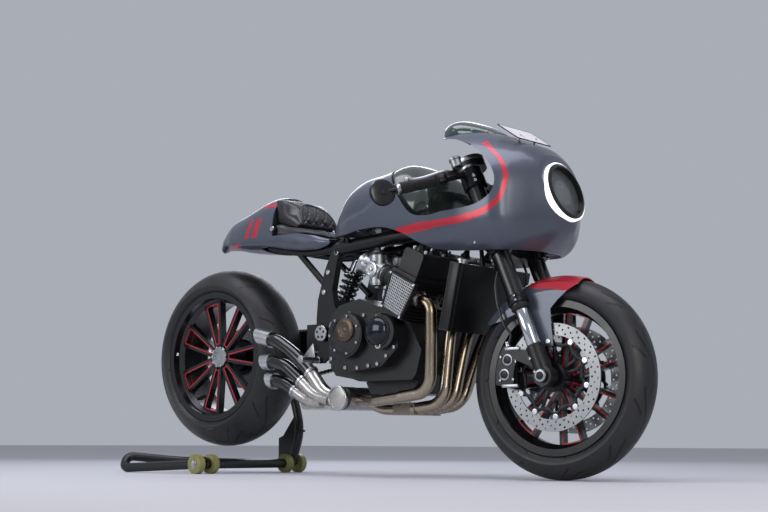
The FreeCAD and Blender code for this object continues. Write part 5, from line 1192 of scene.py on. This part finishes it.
# Number plate: a blank steel plate, enamelled white, on two posts. A thin rubber strip is pushed over its edge,
# and two screws hold it.
plate_enamel = surface("white_enamelled_plate", "#ece9ea", 0.3, mottle=0.03, haze=0.05)
dress(plate_enamel, "number_plate")
PLATE = moved(588, 0, 1054) @ turned(34, "Y")
clear()
bpy.ops.mesh.primitive_plane_add(size=1)
bpy.ops.transform.resize(value=(95.4 * MM, 172.4 * MM, 1))
bpy.ops.object.transform_apply(location=False, rotation=False, scale=True)
all_in_edit()
bpy.ops.mesh.inset(thickness=2.4 * MM)
bpy.ops.mesh.delete(type="FACE")
bpy.ops.object.mode_set(mode="OBJECT")
applied(bpy.context.object, "SOLIDIFY", thickness=3.1 * MM, offset=0)
finish_off("plate_edge_strip", "chassis", manifold_rubber, PLATE @ moved(0, 0, 1.25))
cap_screws("plate_screws", 8, 3, [PLATE @ at((18, y, 2.5)) for y in (-40, 40)])

# Headlamp: a bright diffused light ring round a clear polycarbonate lens. Two glass projectors sit in cups on
# a vacuum chromed reflector, in a gloss black bowl behind a turned bezel.
light_ring = surface("diffused_light_ring", "#ffffff", 0.35, Emission_Color=colour("#ffffff"),
                     Emission_Strength=1.1)
clear_lens = surface("clear_polycarbonate", "#dfe8ea", 0.03, Alpha=0.1)
reflector = surface("vacuum_chromed_reflector", "#dfe2e4", 0.16, metal=1.0, grain=9.0, grain_height=2.5, haze=0.05)
projector_glass = surface("projector_glass", "#15191c", 0.05, Coat_Weight=1.0, Coat_Roughness=0.02)
dress(light_ring, "headlamp_ring")
dress(clear_lens, "headlamp_lens")
dress(gloss_black, "headlamp_bowl")
round_cap("lamp_bezel", (0, 0, 0), (0, 0, 1),
          [(89.5, 10.6), (89.1, 12.2), (86, 14), (79.6, 16.6), (77.4, 15.4), (76.6, -1), (78, -2)], gloss_black,
          steps=96, within=LAMP)
for label, x, radius in (("upper", -30, 30), ("lower", 32, 26)):
    round_cap(f"lamp_{label}_cup", (x, 0, -40), (0, 0, 1),
              [(radius + 8, 0), (radius + 8, 22), (radius + 3, 30), (radius, 30), (radius - 2, 14)], reflector,
              within=LAMP)
    clear()
    bpy.ops.mesh.primitive_uv_sphere_add(segments=32, ring_count=18, radius=radius * 0.92 * MM)
    bpy.ops.object.mode_set(mode="EDIT")
    bpy.ops.transform.resize(value=(1, 1, 0.5), center_override=(0, 0, 0))
    finish_off(f"lamp_{label}_projector", "chassis", projector_glass, LAMP @ moved(x, 0, -20))
round_cap("lamp_reflector", (0, 0, -52), (0, 0, 1), [(74, 27), (60, 16), (46, 6), (30, 2), (8, 0.5)], reflector,
          within=LAMP)

# Tail: a fibreglass hump on a black plastic tray, painted like the body. A plain red double bar stands on each
# side, the tip's lower edge and the crown's rear are edged in red, and a bright latch holds the cowl by the pad.


def bar(tree, x, z, slope, middle, half_width, height, half_height):
    """How deep a point of the side view lies inside one slanted bar, in metres."""
    off = maths(tree, "SUBTRACT", maths(tree, "MULTIPLY_ADD", z, slope, x), (middle + slope * height) * MM)
    in_width = maths(tree, "SUBTRACT", half_width * MM, maths(tree, "ABSOLUTE", off))
    rise = maths(tree, "ABSOLUTE", maths(tree, "SUBTRACT", z, height * MM))
    return maths(tree, "MINIMUM", in_width, maths(tree, "SUBTRACT", half_height * MM, rise))


tail_paint = body_paint("slate_pearl_with_red_bars")
tree = tail_paint.node_tree
x, z = side_view(tree)
inside = bar(tree, x, z, -0.3, -518, 10, 850, 34)
for shape in ((-0.3, -474, 15, 850, 34), (-0.05, -626, 62, 799, 5), (0.6, -436, 34, 928, 8)):
    inside = maths(tree, "MAXIMUM", inside, bar(tree, x, z, *shape))
red_where(tail_paint, inside)
dress(tail_paint, "tail_cowl")
# The tip's skin, laid over the cowl's end
TIP_STATIONS = ((-745, 14, 829, 820, 812), (-733, 34, 840, 819, 803), (-720, 48, 850, 818.5, 802),
                (-700, 59.5, 865.5, 818, 802), (-680, 69.5, 883.3, 817, 800.5), (-660, 79.5, 895.6, 815.5, 797),
                (-640, 88.5, 904, 814.5, 793), (-620, 94, 909.3, 813, 788.5), (-604, 97, 912.6, 812, 785))
rounded_loft("tail_tip", TIP_STATIONS)
finish_off("tail_tip_skin", "chassis", tail_paint, angle=32)
dress(black_plastic, "tail_tray")
for side, name in SIDES:
    round_cap(f"{name}_cowl_latch", (-386, side * 128.5, 838), (0.05, side, 0.3),
              [(9, -2), (9, 2.5), (7, 4), (5.5, 4), (5, 2.8), (2, 2.8)], plated_bolt, steps=24)

# Seat: foam on a fibreglass pan under black leather, its cover drawn in by a sewn seam that runs round the edge.
# The hump pad's front is quilted in diamonds inside an arch of piping.
seat_leather = surface("grained_black_leather", "#2c2c31", 0.36, grain=2.2, grain_height=0.5, mottle=0.2,
                       mottle_size=60, haze=0.15, Coat_Weight=0.12, Coat_Roughness=0.35)
thread_grey = surface("waxed_polyester_thread", "#4a4a4e", 0.7, grain=0.8, grain_height=0.2)


def stuffed(node_name, name, shrink, most, base, widen=1.0):
    """A CAD pad inflated as cloth over foam. Nothing moves below its base line, given as (x, z) points."""
    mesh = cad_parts[node_name].data.copy()
    pad = in_hand(bpy.data.objects.new(name, mesh))
    all_in_edit()
    bpy.ops.mesh.remove_doubles(threshold=0.00001)
    bpy.ops.object.mode_set(mode="OBJECT")
    mesh.transform(Matrix.Diagonal((1, widen, 1, 1)))
    if "custom_normal" in mesh.attributes:
        mesh.attributes.remove(mesh.attributes["custom_normal"])
    applied(pad, "REMESH", mode="VOXEL", voxel_size=4 * MM, adaptivity=0)
    all_in_edit()
    bpy.ops.transform.shrink_fatten(value=-shrink * MM)
    bpy.ops.mesh.vertices_smooth(factor=0.5, repeat=8)
    bpy.ops.object.mode_set(mode="OBJECT")
    before = [v.co.copy() for v in pad.data.vertices]
    cloth = pad.modifiers.new("cover", "CLOTH")
    cloth.settings.use_pressure, cloth.settings.uniform_pressure_force = True, 4
    cloth.settings.effector_weights.gravity = 0
    cloth.point_cache.frame_start, cloth.point_cache.frame_end = 1, 20
    for count in range(1, 21):
        bpy.context.scene.frame_set(count)
    bpy.ops.object.modifier_apply(modifier=cloth.name)
    bpy.context.scene.frame_set(1)
    for vertex, start in zip(pad.data.vertices, before):
        move = vertex.co - start
        gap, above, _ = from_line(Vector((start.x, start.z)) / MM, base)
        hold = max(0, min(1, gap * above / 14))
        if move.length > most * MM:
            move *= most * MM / move.length
        vertex.co = start + move * hold
    all_in_edit()
    bpy.ops.mesh.vertices_smooth(factor=0.5, repeat=10)
    bpy.ops.object.mode_set(mode="OBJECT")
    return pad


def faded(distance):
    """From nought to one over six millimetres."""
    return min(1, max(0, distance / 6))


# The quilted arch's half width, foot and rise, the pitch of its diamonds, and the seat's channels, in millimetres
ARCH_HALF, ARCH_FOOT, ARCH_RISE, DIAMOND, CHANNEL = 82, 846, 84, 42, 36
seat = stuffed("seat_pad", "seat_cushion", 3, 6, [Vector(p)
        for p in ((-400, 812), (-260, 812), (-200, 800), (-110, 780))])
hump = stuffed("hump_pad", "hump_cushion", 2, 8, [Vector(p)
        for p in ((-402, 960), (-391, 858), (-330, 843), (-262, 830))], 1.4)
for pad, quilted in ((seat, False), (hump, True)):
    in_hand(pad)
    applied(pad, "SUBSURF", levels=1, render_levels=1)
    normals = [v.normal.copy() for v in pad.data.vertices]
    for vertex, normal in zip(pad.data.vertices, normals):
        x, y, z = vertex.co / MM
        depth = 0
        if quilted and normal.x > 0.1:
            arch_top = ARCH_FOOT + ARCH_RISE * max(0, 1 - (abs(y) / ARCH_HALF) ** 2) ** 0.5
            reach = faded(z - ARCH_FOOT - 4) * faded(arch_top - z) * (abs(y) < ARCH_HALF)
            for lean in (y + 0.95 * (z - ARCH_FOOT), y - 0.95 * (z - ARCH_FOOT)):
                line = abs((lean + DIAMOND / 2) % DIAMOND - DIAMOND / 2)
                depth = max(depth, 5.0 * math.exp(-(line / 4.2) ** 2) * reach)
        elif not quilted and normal.z > 0.2:
            off_seam = abs((x + 137 + CHANNEL / 2) % CHANNEL - CHANNEL / 2)
            if abs(y) < 84 and -370 < x < -140:
                depth = 2.6 * math.exp(-(off_seam / 3) ** 2)
            depth = max(depth, 3.0 * math.exp(-((abs(y) - 90) / 3) ** 2))
        vertex.co -= normal * depth * MM
    finish_off(pad.name, "chassis", seat_leather, angle=60)
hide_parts("seat_pad")
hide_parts("hump_pad")


def laid_on(pad, start, towards):
    """Where a line meets a pad's cover, in millimetres."""
    hit, where, _, _ = pad.ray_cast(Vector(start) * MM, Vector(towards).normalized())
    return where / MM if hit else None


bpy.context.view_layer.update()
arch = [laid_on(hump, (-200, 85 * math.sin(a), 850 + 81 * math.cos(a) ** 0.8), (-1, 0, 0))
        for a in (math.radians(k) for k in range(-84, 85, 7))]
smooth_rod("hump_piping", [p for p in arch if p is not None], 3.2, seat_leather, "chassis", Matrix(),
           sides=2)
for side, name in SIDES:
    edge = [laid_on(seat, (x, side * 101, 900), (0, 0, -1)) for x in range(-380, -134, 14)]
    smooth_rod(f"{name}_seat_piping", [p for p in edge if p is not None], 2.6, seat_leather, "chassis",
               Matrix(), sides=2)
block((3.4, 0.9, 0.7))
stitch = finish_off("seat_stitches", "chassis", thread_grey)
rows = [laid_on(seat, (x, side * 86, 900), (0, 0, -1)) for side in (-1, 1) for x in range(-372, -138, 6)]
repeated(stitch, "seat_stitches", [moved(*(p + Vector((0, 0, 0.2)))) for p in rows if p is not None])

# Paddock stand: bent steel tube welded to two uprights and powder coated black. Cast urethane rollers turn on
# bolts under it, and pins hold the wheel's axle.
stand_black = surface("satin_black_powder_coat", "#141518", 0.36, grain=1.4, grain_height=0.18, haze=0.08)
urethane = surface("cast_urethane", "#8b8a52", 0.42, grain=1.6, grain_height=0.25, mottle=0.18, mottle_size=22,
                   haze=0.1)
dress(stand_black, "paddock_stand")
dress(urethane, "right_rollers", "left_rollers")
for side, name in SIDES:
    for place, middle in (("inner", 182), ("outer", 248)):
        for face, label in ((-1, "in"), (1, "out")):
            round_cap(f"{name}_{place}_roller_face_{label}", (-616, side * middle + face * 11.1, 33), (0, face, 0),
                      [(29, -1), (29, 0.6), (26, 1.6), (20.5, 1.6), (19.5, 0.6), (17, 0.4)], urethane,
                      f"{name}_rollers", 32)
    round_cap(f"{name}_axle_nut", (-616, side * 259.5, 33), (0, side, 0),
              [(15.5, 0), (15.5, 1.5), (9.8, 1.6), (9.8, 8), (8, 9.5), (3, 9.5)], plated_bolt, steps=6)
    for x, y, z, way in ((-616, 215, 52, (0.2, 0, 1)), (-576, 218, 150, (0, 0, 1)),
                         (-619, 230, 262, (-0.5, 0, 0.9))):
        round_cap(f"{name}_stand_weld_{z}", (x, side * y, z), way,
                  [(15.6, -4), (17.4, -2.4), (17.8, 0), (17.4, 2.4), (15.6, 4)], stand_black,
                  steps=26)
cap_screws("stand_pins", 12, 5, [at((-725, side * 244, 412), (0, side, 0)) for side in (-1, 1)])
